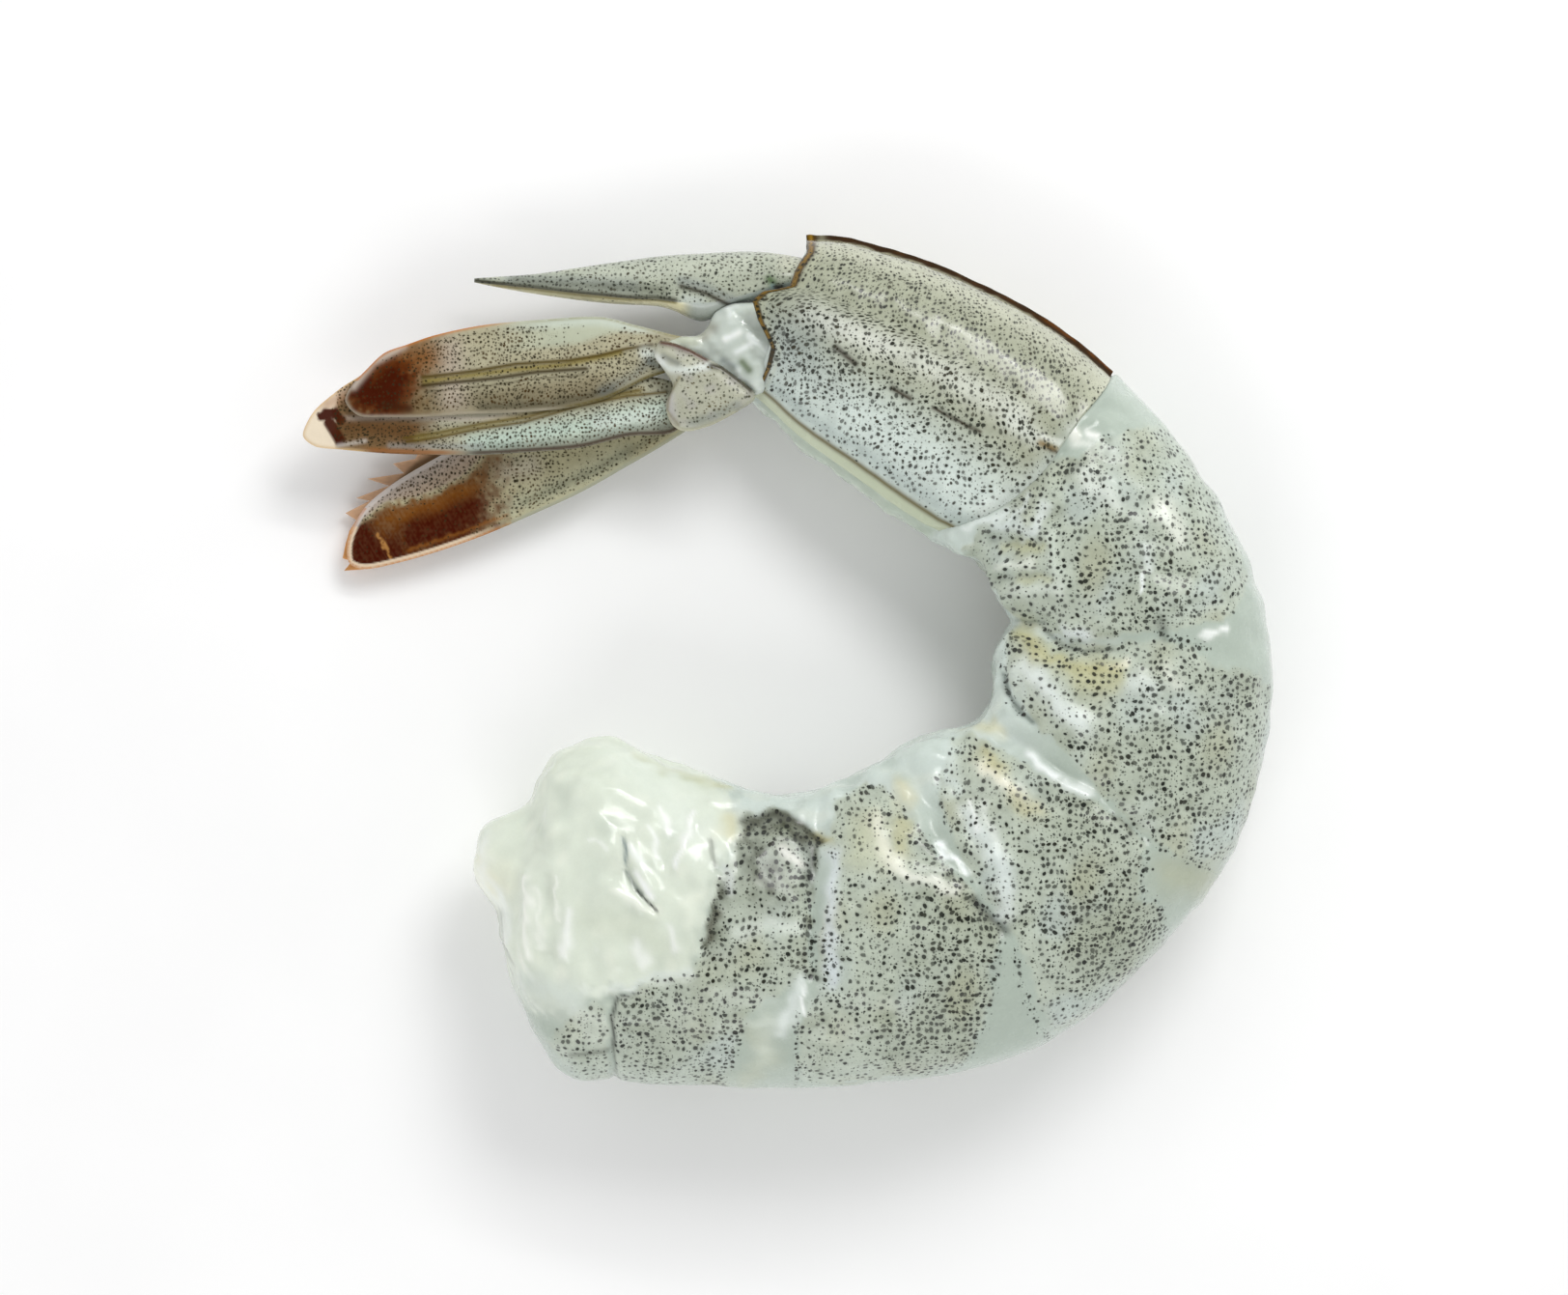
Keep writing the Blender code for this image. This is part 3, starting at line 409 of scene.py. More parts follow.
def inside(points, outline):
    hit = np.zeros(points.shape[:-1], bool)
    outline = np.asarray(outline, float)
    for a, b in zip(outline, np.roll(outline, -1, axis=0)):
        crosses = (a[1] > points[..., 1]) != (b[1] > points[..., 1])
        rise = b[1] - a[1] if b[1] != a[1] else 1e-12
        hit ^= crosses & (points[..., 0] < (b[0] - a[0]) * (points[..., 1] - a[1]) / rise + a[0])
    return hit


def depth_in(points, outline):
    """Distance from an outline, positive inside it."""
    outline = [tuple(p) for p in outline]
    d = line_distance(points, outline + [outline[0]])
    return np.where(inside(points, outline), d, -d)


def smooth(x, low, high):
    t = np.clip((x - low) / (high - low), 0, 1)
    return t * t * (3 - 2 * t)


WAVES = 9


def ripple(p, size, seed):
    """Smooth random-looking value from -1 to 1, with features of about the given size."""
    rng = np.random.default_rng(seed)
    total = np.zeros(p.shape[:-1])
    for _ in range(WAVES):
        turn = rng.normal(size=p.shape[-1])
        turn *= 2 * math.pi / (size * rng.uniform(0.7, 1.6)) / np.linalg.norm(turn)
        total += np.sin(p @ turn + rng.uniform(0, 2 * math.pi))
    return total / (WAVES / 2)


def clouds(p, size, seed, low, high):
    """Soft patches from 0 to 1, where the ripple rises from low to high."""
    return smooth(ripple(p, size, seed), low, high)


def bell(x, width):
    """Bell curve, 1 at x = 0."""
    return np.exp(-(x / width) ** 2)


def blob(flat, x, y, radius):
    """Round bell about the place x, y."""
    return np.exp(-(((flat - (x, y)) ** 2).sum(-1)) / radius ** 2)


def shell_front(angle):
    turn = np.degrees(np.abs(angle))
    return knots(STATIONS)[SHELL_FRONT_ROW] - np.interp(turn, SHELL_ANGLES, FRONT_AHEAD)


def shell_rear(angle):
    turn = np.degrees(np.abs(angle))
    return knots(STATIONS)[SHELL_REAR_ROW] + np.interp(turn, SHELL_ANGLES, REAR_PAST)


def settle(s):
    """Sag of the resting meat and lift of its tail end."""
    start = knots(STATIONS)[SHELL_FRONT_ROW]
    sunk = smooth(s, 4, 12) * (1 - smooth(s, start - 9, start - 3))
    return RISE * smooth(s, start - 9, start - 3) - SAG * sunk


def relief(p, s, angle):
    """How far the meat stands off the plain skin."""
    flat = p[..., 0:2]
    side = np.abs(np.sin(angle)) ** 0.5
    front = shell_front(angle)
    lift = np.zeros(s.shape)
    for line in SEAMS:
        lift -= SEAM_DEPTH * bell(line_distance(flat, line), SEAM_WIDTH) * side
    for x, y, radius, height in SWELLINGS:
        lift += height * blob(flat, x, y, radius) * side
    for line, width, height in FOLDS:
        lift += height * bell(line_distance(flat, line), width)
    lift += 0.11 * ripple(p, 3.0, 3) + 0.04 * side * ripple(p, 1.3, 4)
    lift += 0.12 * smooth(depth_in(flat, FLESH_AREA), -0.5, 1.5) * ripple(p * (1.0, 0.6, 1.0), 2.1, 5)
    lift += smooth(s, 9, 4) * (0.12 * ripple(p, 2.6, 6) + 0.03 * ripple(p * (1.0, 0.5, 0.5), 1.0, 7))
    belly = 180 - np.abs(np.degrees(angle))
    pair = smooth(s, 14, 22) * (1 - smooth(s, front - 5, front))
    lobes = 1 + 0.5 * ripple(p, 2.6, 8)
    lift += pair * (0.5 * lobes * bell(belly - 27, 13) - 0.5 * bell(belly, 12))
    lift += 0.10 * smooth(s, 14, 22) * smooth(belly, 50, 25) * ripple(p, 1.5, 9)
    x, y, z, radius, height = LUMP
    lift += height * bell(((p - (x, y, z)) ** 2).sum(-1), radius ** 2)
    seat = smooth(s, front - 0.3, front + 0.1) * smooth(belly, 9, 17)
    sunk = SHELL_SEAT + KEEL_DROP * bell(180 - belly, 36)
    return lift * (1 - seat) - sunk * seat


def new_piece(name, verts, faces, node, material, layers, other=None, other_faces=None):
    """Mesh piece from millimetre points, with its colour layers, in place of a solid."""
    mesh = bpy.data.meshes.new(name)
    verts = np.asarray(verts, float) * MM
    mesh.from_pydata([], [], [])
    mesh.vertices.add(len(verts))
    mesh.vertices.foreach_set("co", verts.ravel())
    sizes = np.array([len(f) for f in faces])
    mesh.loops.add(int(sizes.sum()))
    mesh.loops.foreach_set("vertex_index", np.concatenate([np.asarray(f) for f in faces]).astype(np.int32))
    mesh.polygons.add(len(faces))
    mesh.polygons.foreach_set("loop_start", np.concatenate([[0], np.cumsum(sizes)[:-1]]).astype(np.int32))
    mesh.update(calc_edges=True)
    mesh.polygons.foreach_set("use_smooth", np.ones(len(mesh.polygons), bool))
    tone = np.column_stack([np.clip(layers["tone"], 0, 1), np.ones(len(verts))])
    colour = mesh.color_attributes.new("tone", "FLOAT_COLOR", "POINT")
    colour.data.foreach_set("color", tone.ravel())
    for key in ("dots", "wet"):
        layer = mesh.attributes.new(key, "FLOAT", "POINT")
        layer.data.foreach_set("value", np.asarray(layers[key], float))
    layer = mesh.attributes.new("place", "FLOAT_VECTOR", "POINT")
    place = np.column_stack([layers["place"], np.zeros(len(verts))])
    layer.data.foreach_set("vector", place.ravel())
    mesh.materials.append(material)
    if other:
        mesh.materials.append(other)
        mesh.polygons.foreach_set("material_index", np.asarray(other_faces, np.int32))
    piece = bpy.data.objects.new(name, mesh)
    bpy.context.scene.collection.objects.link(piece)
    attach(piece, "root")
    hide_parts(node)


class Shader:
    """A material's node tree, with short calls for the nodes used here."""

    def __init__(self, name):
        self.material = bpy.data.materials.new(name)
        self.material.use_nodes = True
        self.tree = self.material.node_tree
        self.skin = self.tree.nodes["Principled BSDF"]

    def node(self, kind, **settings):
        node = self.tree.nodes.new(kind)
        for key, value in settings.items():
            setattr(node, key, value)
        return node

    def feed(self, socket, value):
        if isinstance(value, bpy.types.NodeSocket):
            self.tree.links.new(value, socket)
        else:
            socket.default_value = value

    def attribute(self, name, output):
        return self.node("ShaderNodeAttribute", attribute_name=name).outputs[output]

    def math(self, operation, a, b):
        node = self.node("ShaderNodeMath", operation=operation)
        self.feed(node.inputs[0], a)
        self.feed(node.inputs[1], b)
        return node.outputs[0]

    def vector(self, operation, a, b):
        node = self.node("ShaderNodeVectorMath", operation=operation)
        self.feed(node.inputs[0], a)
        self.feed(node.inputs[1], b)
        return node.outputs[0]

    def scaled(self, a, scale):
        node = self.node("ShaderNodeVectorMath", operation="SCALE")
        self.feed(node.inputs[0], a)
        self.feed(node.inputs["Scale"], scale)
        return node.outputs[0]

    def range(self, value, low, high, to_low=0.0, to_high=1.0):
        node = self.node("ShaderNodeMapRange", interpolation_type="SMOOTHSTEP")
        for key, item in zip(("Value", "From Min", "From Max", "To Min", "To Max"),
                             (value, low, high, to_low, to_high)):
            self.feed(node.inputs[key], item)
        return node.outputs["Result"]

    def mix(self, amount, a, b):
        node = self.node("ShaderNodeMix", data_type="RGBA")
        self.feed(node.inputs["Factor"], amount)
        self.feed(node.inputs[6], a)
        self.feed(node.inputs[7], b)
        return node.outputs[2]

    def noise(self, place, size, detail=3.0):
        node = self.node("ShaderNodeTexNoise")
        self.feed(node.inputs["Vector"], place)
        node.inputs["Scale"].default_value = 1 / size
        node.inputs["Detail"].default_value = detail
        return node

    def cells(self, place, size):
        node = self.node("ShaderNodeTexVoronoi", voronoi_dimensions="2D")
        self.feed(node.inputs["Vector"], place)
        node.inputs["Scale"].default_value = 1 / size
        node.inputs["Randomness"].default_value = 0.75
        return node


# Ends of a spot's dark middle, of its edge and of its halo, as shares of its radius.
SPOT_CORE, SPOT_EDGE, SPOT_HALO = 0.76, 1.08, 2.1


def speckles(shader, place, cover, cell, small, large):
    """Pigment spots with radii from small to large: returns (spot, soft halo) amounts."""
    cells = shader.cells(place, cell)
    parts = shader.node("ShaderNodeSeparateColor")
    shader.feed(parts.inputs[0], cells.outputs["Color"])
    there = shader.range(shader.math("SUBTRACT", cover, parts.outputs[0]), 0.0, 0.08)
    size = shader.range(parts.outputs[1], 0.0, 1.0, small / cell, large / cell)
    size = shader.math("MULTIPLY", size, shader.range(cover, 0.4, 1.6, 0.85, 1.3))
    there = shader.math("MULTIPLY", there, shader.range(parts.outputs[2], 0.0, 1.0, 0.7, 1.0))
    core = shader.math("MULTIPLY", size, SPOT_CORE)
    edge = shader.math("MULTIPLY", size, SPOT_EDGE)
    wide = shader.math("MULTIPLY", size, SPOT_HALO)
    spot = shader.range(cells.outputs["Distance"], core, edge, 1.0, 0.0)
    soft = shader.range(cells.outputs["Distance"], core, wide, 1.0, 0.0)
    return shader.math("MULTIPLY", spot, there), shader.math("MULTIPLY", soft, there)


def wet_skin(name, spot_colour, cell=0.48, small=0.05, large=0.16, roughness=0.32, depth=1.0,
             weight=0.12, coat=0.3, gloss=0.5):
    """Wet speckled skin: painted tone, mottling, three layers of spots, soft depth and gloss."""
    shader = Shader(name)
    solid = shader.node("ShaderNodeTexCoord").outputs["Object"]
    solid = shader.scaled(solid, 1 / MM)
    flat = shader.attribute("place", "Vector")
    drift = shader.vector("SUBTRACT", shader.noise(flat, 2.4, 1.0).outputs["Color"], (0.5, 0.5, 0.5))
    ragged = shader.vector("SUBTRACT", shader.noise(flat, 0.3, 2.0).outputs["Color"], (0.5, 0.5, 0.5))
    bent = shader.vector("ADD", flat, shader.scaled(drift, 0.8))
    bent = shader.vector("ADD", bent, shader.scaled(ragged, 0.10))
    cover = shader.attribute("dots", "Fac")
    tone = shader.attribute("tone", "Color")
    patchy = shader.range(shader.noise(solid, 1.8, 3.0).outputs["Fac"], 0.35, 0.65, -0.16, 0.12)
    uneven = shader.math("MULTIPLY", cover, shader.math("ADD", 1.0, patchy))
    big, big_halo = speckles(shader, bent, uneven, cell, small, large)
    crowd = shader.math("SUBTRACT", uneven, 0.8)
    more, more_halo = speckles(shader, bent, crowd, cell * 0.83, small, large * 0.9)
    fine, _ = speckles(shader, bent, shader.math("MULTIPLY", uneven, 0.5), cell * 0.5, small * 0.5,
                       large * 0.45)
    mottle = shader.range(shader.noise(solid, 1.1, 4.0).outputs["Fac"], 0.3, 0.7, -0.07, 0.06)
    grain = shader.range(shader.noise(solid, 0.18, 2.0).outputs["Fac"], 0.3, 0.7, -0.035, 0.035)
    strength = shader.range(cover, 0.0, 0.8, 0.25, 1.0)
    shade = shader.math("MULTIPLY", shader.math("ADD", mottle, grain), strength)
    colour = shader.scaled(tone, shader.math("ADD", shade, 1.0))
    haze = shader.math("MULTIPLY", shader.math("MAXIMUM", big_halo, more_halo), 0.22)
    colour = shader.mix(haze, colour, (*rgb(spot_colour) * 2.2, 1))
    browner = shader.range(shader.noise(flat, 1.6, 1.0).outputs["Fac"], 0.5, 0.64, 0.0, 0.7)
    pigment = shader.mix(browner, (*rgb(spot_colour), 1), (*rgb(spot_colour) * (2.4, 1.5, 0.6), 1))
    spots = shader.math("MULTIPLY", shader.math("MAXIMUM", big, more), 0.97)
    spots = shader.math("MAXIMUM", spots, shader.math("MULTIPLY", fine, 0.7))
    colour = shader.mix(spots, colour, pigment)
    shader.feed(shader.skin.inputs["Base Color"], colour)
    wet = shader.attribute("wet", "Fac")
    rough = shader.range(shader.noise(solid, 0.8, 3.0).outputs["Fac"], 0.3, 0.7, roughness - 0.06,
                         roughness + 0.08)
    shader.feed(shader.skin.inputs["Roughness"],
                shader.math("SUBTRACT", rough, shader.math("MULTIPLY", wet, 0.14)))
    bump = shader.node("ShaderNodeBump")
    bump.inputs["Strength"].default_value = 0.7
    bump.inputs["Distance"].default_value = 0.004 * MM
    texture = shader.math("ADD", shader.noise(solid, 0.5, 3.0).outputs["Fac"],
                          shader.noise(solid, 1.7, 2.0).outputs["Fac"])
    shader.feed(bump.inputs["Height"], texture)
    shader.feed(shader.skin.inputs["Normal"], bump.outputs[0])
    settings = {
        "Subsurface Weight": weight, "Subsurface Radius": (1.0, 0.95, 0.8), "Subsurface Scale": depth * MM,
        "Coat Weight": coat, "Coat Roughness": 0.10, "Coat IOR": 1.36,
        "Specular IOR Level": gloss, "IOR": 1.38,
    }
    for key, value in settings.items():
        shader.skin.inputs[key].default_value = value
    return shader.material


def unrolled(p, angle):
    """Flat places for the spots: as seen from above on the near side, then opened out round the back."""
    order = np.argsort(angle[0])
    q = p[:, order]
    steps = np.linalg.norm(np.diff(q, axis=1), axis=-1)
    arc = np.concatenate([np.zeros((len(p), 1)), np.cumsum(steps, axis=1)], axis=1)
    side = np.argmin(np.abs(angle[0][order] - math.pi / 2))
    across = q[:, side, 0:2] - q[:, -1, 0:2]
    across /= np.maximum(np.linalg.norm(across, axis=-1, keepdims=True), 1e-9)
    opened = q[:, side, None, 0:2] + across[:, None] * (arc[:, [side]] - arc)[..., None]
    place = np.empty(q.shape[:-1] + (2,))
    place[:, order] = np.where((np.arange(len(order)) < side)[None, :, None], opened, q[..., 0:2])
    return place


def ground(flat, colour):
    """One plain colour at every place."""
    tone = np.empty(flat.shape[:-1] + (3,))
    tone[:] = rgb(colour)
    return tone


def paint(tone, colour, amount):
    """Lays a colour over the tone by an amount from 0 to 1 at each point."""
    tone += (rgb(colour) - tone) * np.clip(amount, 0, 1)[..., None]


def stroke(flat, line, width):
    """Bell across a line of points, 1 on the line."""
    return bell(line_distance(flat, line), width)


def brush(tone, flat, strokes):
    """Paints soft strokes, each given as points, width, colour and amount."""
    for line, width, colour, amount in strokes:
        paint(tone, colour, amount * stroke(flat, line, width))


def loft_faces(n, m):
    """Faces of a closed skin over n rings of m points, with one point at each end."""
    i, j = np.meshgrid(np.arange(n - 1), np.arange(m), indexing="ij")
    a, b = (i * m + j).ravel(), (i * m + (j + 1) % m).ravel()
    faces = np.column_stack([a, b, b + m, a + m]).tolist()
    for j in range(m):
        faces.append([n * m, (j + 1) % m, j])
        faces.append([n * m + 1, (n - 1) * m + j, (n - 1) * m + (j + 1) % m])
    return faces


def meat():
    """Peeled meat, from the cut end to the white joint behind the shell."""
    end = knots(STATIONS)[-1]
    rings, around = MEAT_MESH
    u = np.linspace(0, 1, rings)
    s = end * (u - 0.03 * np.sin(2 * math.pi * u)) + 0.12 * (1 - 2 * u)
    # The columns are closer together on the side that shows.
    angle = -math.pi + (np.arange(around) + 0.5) * 2 * math.pi / around
    angle = (angle + 0.35 * np.cos(angle) + math.pi) % (2 * math.pi) - math.pi
    s, angle = np.meshgrid(s, angle, indexing="ij")
    base = skin(STATIONS, s, angle)
    p = base + relief(base, s, angle)[..., None] * normals(STATIONS, s, angle)
    rear = knots(STATIONS)[SHELL_REAR_ROW]
    p[..., 2] = np.maximum(p[..., 2] + settle(s), 0)
    flat = base[..., 0:2]
    wob = flat + 0.25 * np.stack([ripple(base, 1.3, 11), ripple(base, 1.3, 12)], axis=-1)
    patch = np.max([depth_in(wob, o) for o in PATCHES], axis=0)
    speckled = smooth(patch, -0.12, 0.2)
    tone = ground(flat, BARE)
    belly = 180 - np.abs(np.degrees(angle))
    paint(tone, BARE_BELLY, smooth(belly, 75, 30))
    back_edge = bell(np.degrees(angle), 28)
    paint(tone, (188, 199, 191), 0.6 * back_edge)
    paint(tone, SPECKLED, speckled)
    paint(tone, (188, 200, 196), 0.6 * speckled * clouds(base, 5.0, 13, 0.1, 1.2))
    paint(tone, (168, 170, 142), 0.6 * speckled * clouds(base, 4.0, 14, 0.1, 1.2))
    crowd = sum(a * blob(flat, x, y, r) for x, y, r, a in CROWDING)
    dusk = speckled * np.clip(crowd, 0, 1)
    paint(tone, (136, 142, 116), 0.75 * dusk)
    dim = speckled * clouds(base, 2.2, 17, 0.2, 1.4) * smooth(belly, 40, 70)
    paint(tone, (146, 154, 134), 0.5 * dim)
    fleshy = smooth(belly, 62, 34) * (1 - speckled)
    paint(tone, (208, 216, 206), 0.7 * fleshy * clouds(base, 2.0, 18, 0.1, 1.2))
    paint(tone, (170, 182, 172), 0.5 * fleshy * clouds(base, 1.5, 19, 0.1, 1.2))
    smoky = np.max([amount * speckled * stroke(wob, line, width) for line, width, amount in SMOKE], axis=0)
    smoky *= 0.5 + 0.5 * clouds(base, 0.9, 15, -0.8, 0.8)
    paint(tone, (58, 60, 40), 0.95 * smoky)
    paint(tone, (186, 198, 192), 0.5 * back_edge * speckled)
    blotchy = clouds(base, 1.1, 16, -0.4, 0.7)
    # Lays the painted shade along the seams, broken up by the blotchy pattern.
    for line, width, colour, amount in SEAM_SHADE:
        paint(tone, colour, amount * blotchy * speckled * stroke(wob, line, width))
    flesh = smooth(depth_in(wob, FLESH_AREA) + 0.4 * ripple(base, 0.8, 22), -0.7, 0.7)
    paint(tone, FLESH, flesh)
    fibre = ripple(base * (1.0, 0.16, 1.0), 0.9, 21)
    tone *= (1 + 0.03 * flesh * fibre)[..., None]
    paint(tone, (196, 206, 192), 0.6 * flesh * clouds(base, 2.6, 23, 0.2, 1.3))
    paint(tone, (232, 237, 222), 0.6 * flesh * clouds(base, 2.1, 24, 0.2, 1.3))
    sides = smooth(belly, 8, 30)
    # The near-white strokes laid here are painted highlights, partly whitish muscle.
    for line, width, colour, amount in MEAT_TINTS_AND_HIGHLIGHTS:
        paint(tone, colour, np.minimum(1.15 * amount, 0.95) * sides * stroke(wob, line, 0.92 * width))
    for line, width, colour, amount in INK:
        paint(tone, colour, amount * sides * stroke(flat + 0.3 * (wob - flat), line, width))
    white = smooth(s, rear - 2.0, rear - 0.6)
    paint(tone, JOINT_WHITE, white)
    # The near-white joint strokes are painted glints.
    for line, width, colour, amount in JOINT_TINTS_AND_GLINTS:
        paint(tone, colour, amount * stroke(flat, line, width) * white)
    under_shell = smooth(s, shell_front(angle) - 0.2, shell_front(angle) + 0.6) * (1 - white)
    paint(tone, (190, 201, 188), under_shell)
    paint(tone, (212, 219, 208), 0.7 * under_shell * clouds(base, 1.5, 25, 0.0, 1.1))
    paint(tone, (168, 180, 166), 0.6 * under_shell * clouds(base, 1.2, 26, 0.2, 1.2))
    dots = 0.95 + 0.9 * crowd
    dots = np.clip(dots, 0.3, 1.6) * smooth(patch, -0.1, 0.25) * (1 - white) * (1 - under_shell)
    dots *= 1 - 0.75 * flesh
    dots = np.maximum(dots, 1.6 * smoky) * (1 - 0.3 * back_edge)
    dots *= 1 - 0.6 * smooth(tone.mean(axis=-1), 0.58, 0.75)
    for line, width, amount in CHAINS:
        dots = np.maximum(dots, amount * stroke(flat, line, width))
    wet = np.clip(flesh * 0.6 + white + (1 - speckled) * 0.5, 0, 1)
    place = unrolled(base, angle)
    order = slice(None, None, -1)
    verts = np.vstack([p[:, order].reshape(-1, 3), (*STATIONS[0, 0:2], STATIONS[0, 5]),
                       (*STATIONS[-1, 0:2], STATIONS[-1, 5] + RISE)])
    layers = {
        "tone": np.vstack([tone[:, order].reshape(-1, 3), rgb(FLESH), rgb(JOINT_WHITE)]),
        "dots": np.concatenate([dots[:, order].ravel(), [0, 0]]),
        "wet": np.concatenate([wet[:, order].ravel(), [1, 1]]),
        "place": np.vstack([place[:, order].reshape(-1, 2), STATIONS[0, 0:2], STATIONS[-1, 0:2]]),
    }
    material = wet_skin("raw_meat", (14, 19, 12), depth=1.2, weight=0.10, gloss=0.4)
    new_piece("shrimp_meat", verts, loft_faces(*s.shape), "body", material, layers)


# Painted strokes on the white joint behind the shell: the three near-white ones are painted glints, the
# others green and grey marks.
JOINT_TINTS_AND_GLINTS = [
    ([(-4.2, 24.2), (-3.2, 23.9)], 0.35, (238, 243, 240), 0.8),
    ([(-4.4, 22.5), (-3.0, 22.9)], 0.4, (240, 244, 241), 0.8),
    ([(-2.6, 22.0), (-1.6, 22.8)], 0.35, (236, 241, 238), 0.7),
    ([(-5.6, 24.9), (-4.9, 24.0)], 0.5, (184, 190, 176), 0.6),
    ([(-3.0, 21.1), (-2.2, 20.2)], 0.3, (92, 100, 58), 0.7),
    ([(-5.4, 22.6), (-4.6, 22.2)], 0.5, (176, 176, 158), 0.5),
]


def shell():
    """Last shell segment: thin speckled sleeve with a dark back ridge, open along the belly."""
    half = math.radians(SHELL_ANGLES[-1])
    rows, count = SHELL_MESH
    columns = np.linspace(-half, half, count)
    t = np.linspace(0, 1, rows + 1)[:, None]
    s = shell_front(columns)[None, :] * (1 - t) + shell_rear(columns)[None, :] * t
    angle = np.broadcast_to(columns, s.shape).copy()
    base = skin(SHELL_STATIONS, s, angle)
    out = normals(SHELL_STATIONS, s, angle)
    turn = np.abs(np.degrees(angle))
    # The flanks by the back sink a little, so that the back stands up as a narrow keel.
    keel = bell(turn, 5.5)
    near_back = bell(turn, 34)
    flat = base[..., 0:2]
    lift = -KEEL_DROP * near_back * (1 - keel)
    lift += 0.03 * ripple(base, 2.0, 31)
    lift += (0.14 * stroke(flat, [(18.0, 15.4), (19.2, 15.0)], 0.5)
             - 0.12 * stroke(flat, [(13.4, 16.3), (17.6, 15.0)], 0.5))
    edge_front = s - shell_front(angle)
    edge_rear = shell_rear(angle) - s
    margin = (half - np.abs(angle)) * SHELL_RADIUS
    rim = np.minimum(np.minimum(edge_front, edge_rear), margin)
    lift += 0.05 * bell(margin, 0.25) + 0.07 * bell(edge_rear - 0.2, 0.2)
    lift -= 0.22 * smooth(edge_front, 1.6, 0.0) * smooth(turn, 40, 60)
    outer = base + lift[..., None] * out
    wall = SHELL_WALL * smooth(rim, -0.2, 0.5) * 0.5 + SHELL_WALL * 0.5
    inner = outer - wall[..., None] * out
    outer[..., 2] += RISE
    inner[..., 2] += RISE

    tone = ground(flat, (161, 165, 143))
    paint(tone, (214, 226, 219), 0.92 * smooth(turn, 86, 120))
    paint(tone, (198, 199, 180), 0.5 * bell(turn - 30, 14))
    brush(tone, flat, [
        # The first three strokes are a painted highlight band along the shell.
        ([(1.7, 24.4), (9.4, 21.3), (16.4, 17.4)], 1.2, (226, 230, 219), 0.6),
        ([(16.0, 16.8), (17.8, 15.6)], 0.7, (222, 228, 218), 0.6),
        ([(3.0, 24.0), (7.0, 22.3)], 0.7, (232, 234, 224), 0.35),
        ([(-1.5, 24.8), (1.5, 21.0), (3.0, 19.5)], 1.4, (158, 166, 158), 0.35),
        ([(18.6, 13.6), (16.2, 11.2), (14.0, 10.2)], 0.8, (214, 222, 214), 0.55),
    ])
    paint(tone, (172, 182, 172), 0.6 * bell(edge_front, 0.8) * smooth(turn, 50, 70))
    paint(tone, (206, 210, 186), 0.4 * bell(edge_front, 0.8) * smooth(turn, 70, 30))
    brush(tone, flat, [
        ([(3.5, 22.2), (4.9, 21.0)], 0.22, (44, 26, 4), 0.97),
        ([(7.5, 19.25), (8.8, 18.5)], 0.2, (44, 26, 4), 0.97),
        ([(10.4, 17.85), (13.7, 16.1)], 0.15, (44, 26, 4), 0.97),
        ([(18.0, 15.3), (19.0, 14.9)], 0.25, (128, 98, 36), 0.8),
        ([(18.6, 14.9), (19.3, 14.6)], 0.13, (44, 34, 16), 0.8),
    ])
    start = smooth(s, shell_front(0) + 9, shell_front(0) + 1)
    band = 9 + 4 * start
    brown = smooth(turn - band + 2.2 * ripple(base, 0.9, 33), 2.0, -3)
    amber_and_sheen = smooth(ripple(base, 1.6, 36) + 0.6 * ripple(base, 0.6, 37), -0.5, 1.1)
    paint(tone, (104, 90, 62), 0.6 * smooth(turn + 3 * ripple(base, 0.8, 34), 21, 9))
    paint(tone, (44, 24, 4), brown * 0.97)
    # Golden streaks along the keel's crest: partly its own amber, partly a painted highlight.
    paint(tone, (124, 70, 20), 0.65 * bell(turn - 3, 2.4) * start * amber_and_sheen)
    paint(tone, (84, 52, 18), 0.5 * bell(turn - 3, 2.2) * (1 - start) * amber_and_sheen)
    paint(tone, (196, 203, 172), 0.8 * smooth(margin, 1.3, 0.9))
    paint(tone, (98, 84, 16), 0.95 * bell(margin - 1.25, 0.26))
    paint(tone, (150, 164, 162), 0.45 * bell(margin - 2.3, 0.7))
    paint(tone, (58, 40, 6), 0.97 * smooth(edge_rear, 0.56, 0.38) * smooth(turn, 152, 146))
    # Golden line on the crest of the raised back rim: partly its own amber, partly a painted highlight.
    paint(tone, (158, 122, 40), 0.7 * bell(edge_rear - 0.2, 0.1) * smooth(turn, 150, 140))
    corner = ((flat - (0.6, 22.6)) ** 2).sum(-1)
    paint(tone, (140, 150, 146), 0.55 * np.exp(-corner / 7) * smooth(edge_rear, 0.4, 0.8))
    paint(tone, (176, 178, 150), 0.3 * bell(edge_rear - 0.75, 0.2))
    paint(tone, (34, 26, 12), 0.9 * stroke(flat, [(-1.0, 22.1), (-1.2, 21.4)], 0.25)
          * smooth(edge_rear, 1.2, 0.5))
    dots = 1.08 + 0.1 * ripple(base, 4.0, 35)
    dots -= 0.3 * smooth(turn, 110, 140) + 0.28 * bell(turn - 24, 9)
    dots -= 0.25 * bell(edge_front, 1.6)
    dots += 0.2 * blob(flat, 1.5, 20.5, 3)
    dots += 0.35 * np.exp(-corner / 9)
    dots *= smooth(turn, 8, 14) * smooth(margin, 1.2, 1.9)
    wet = np.full(s.shape, 0.6)

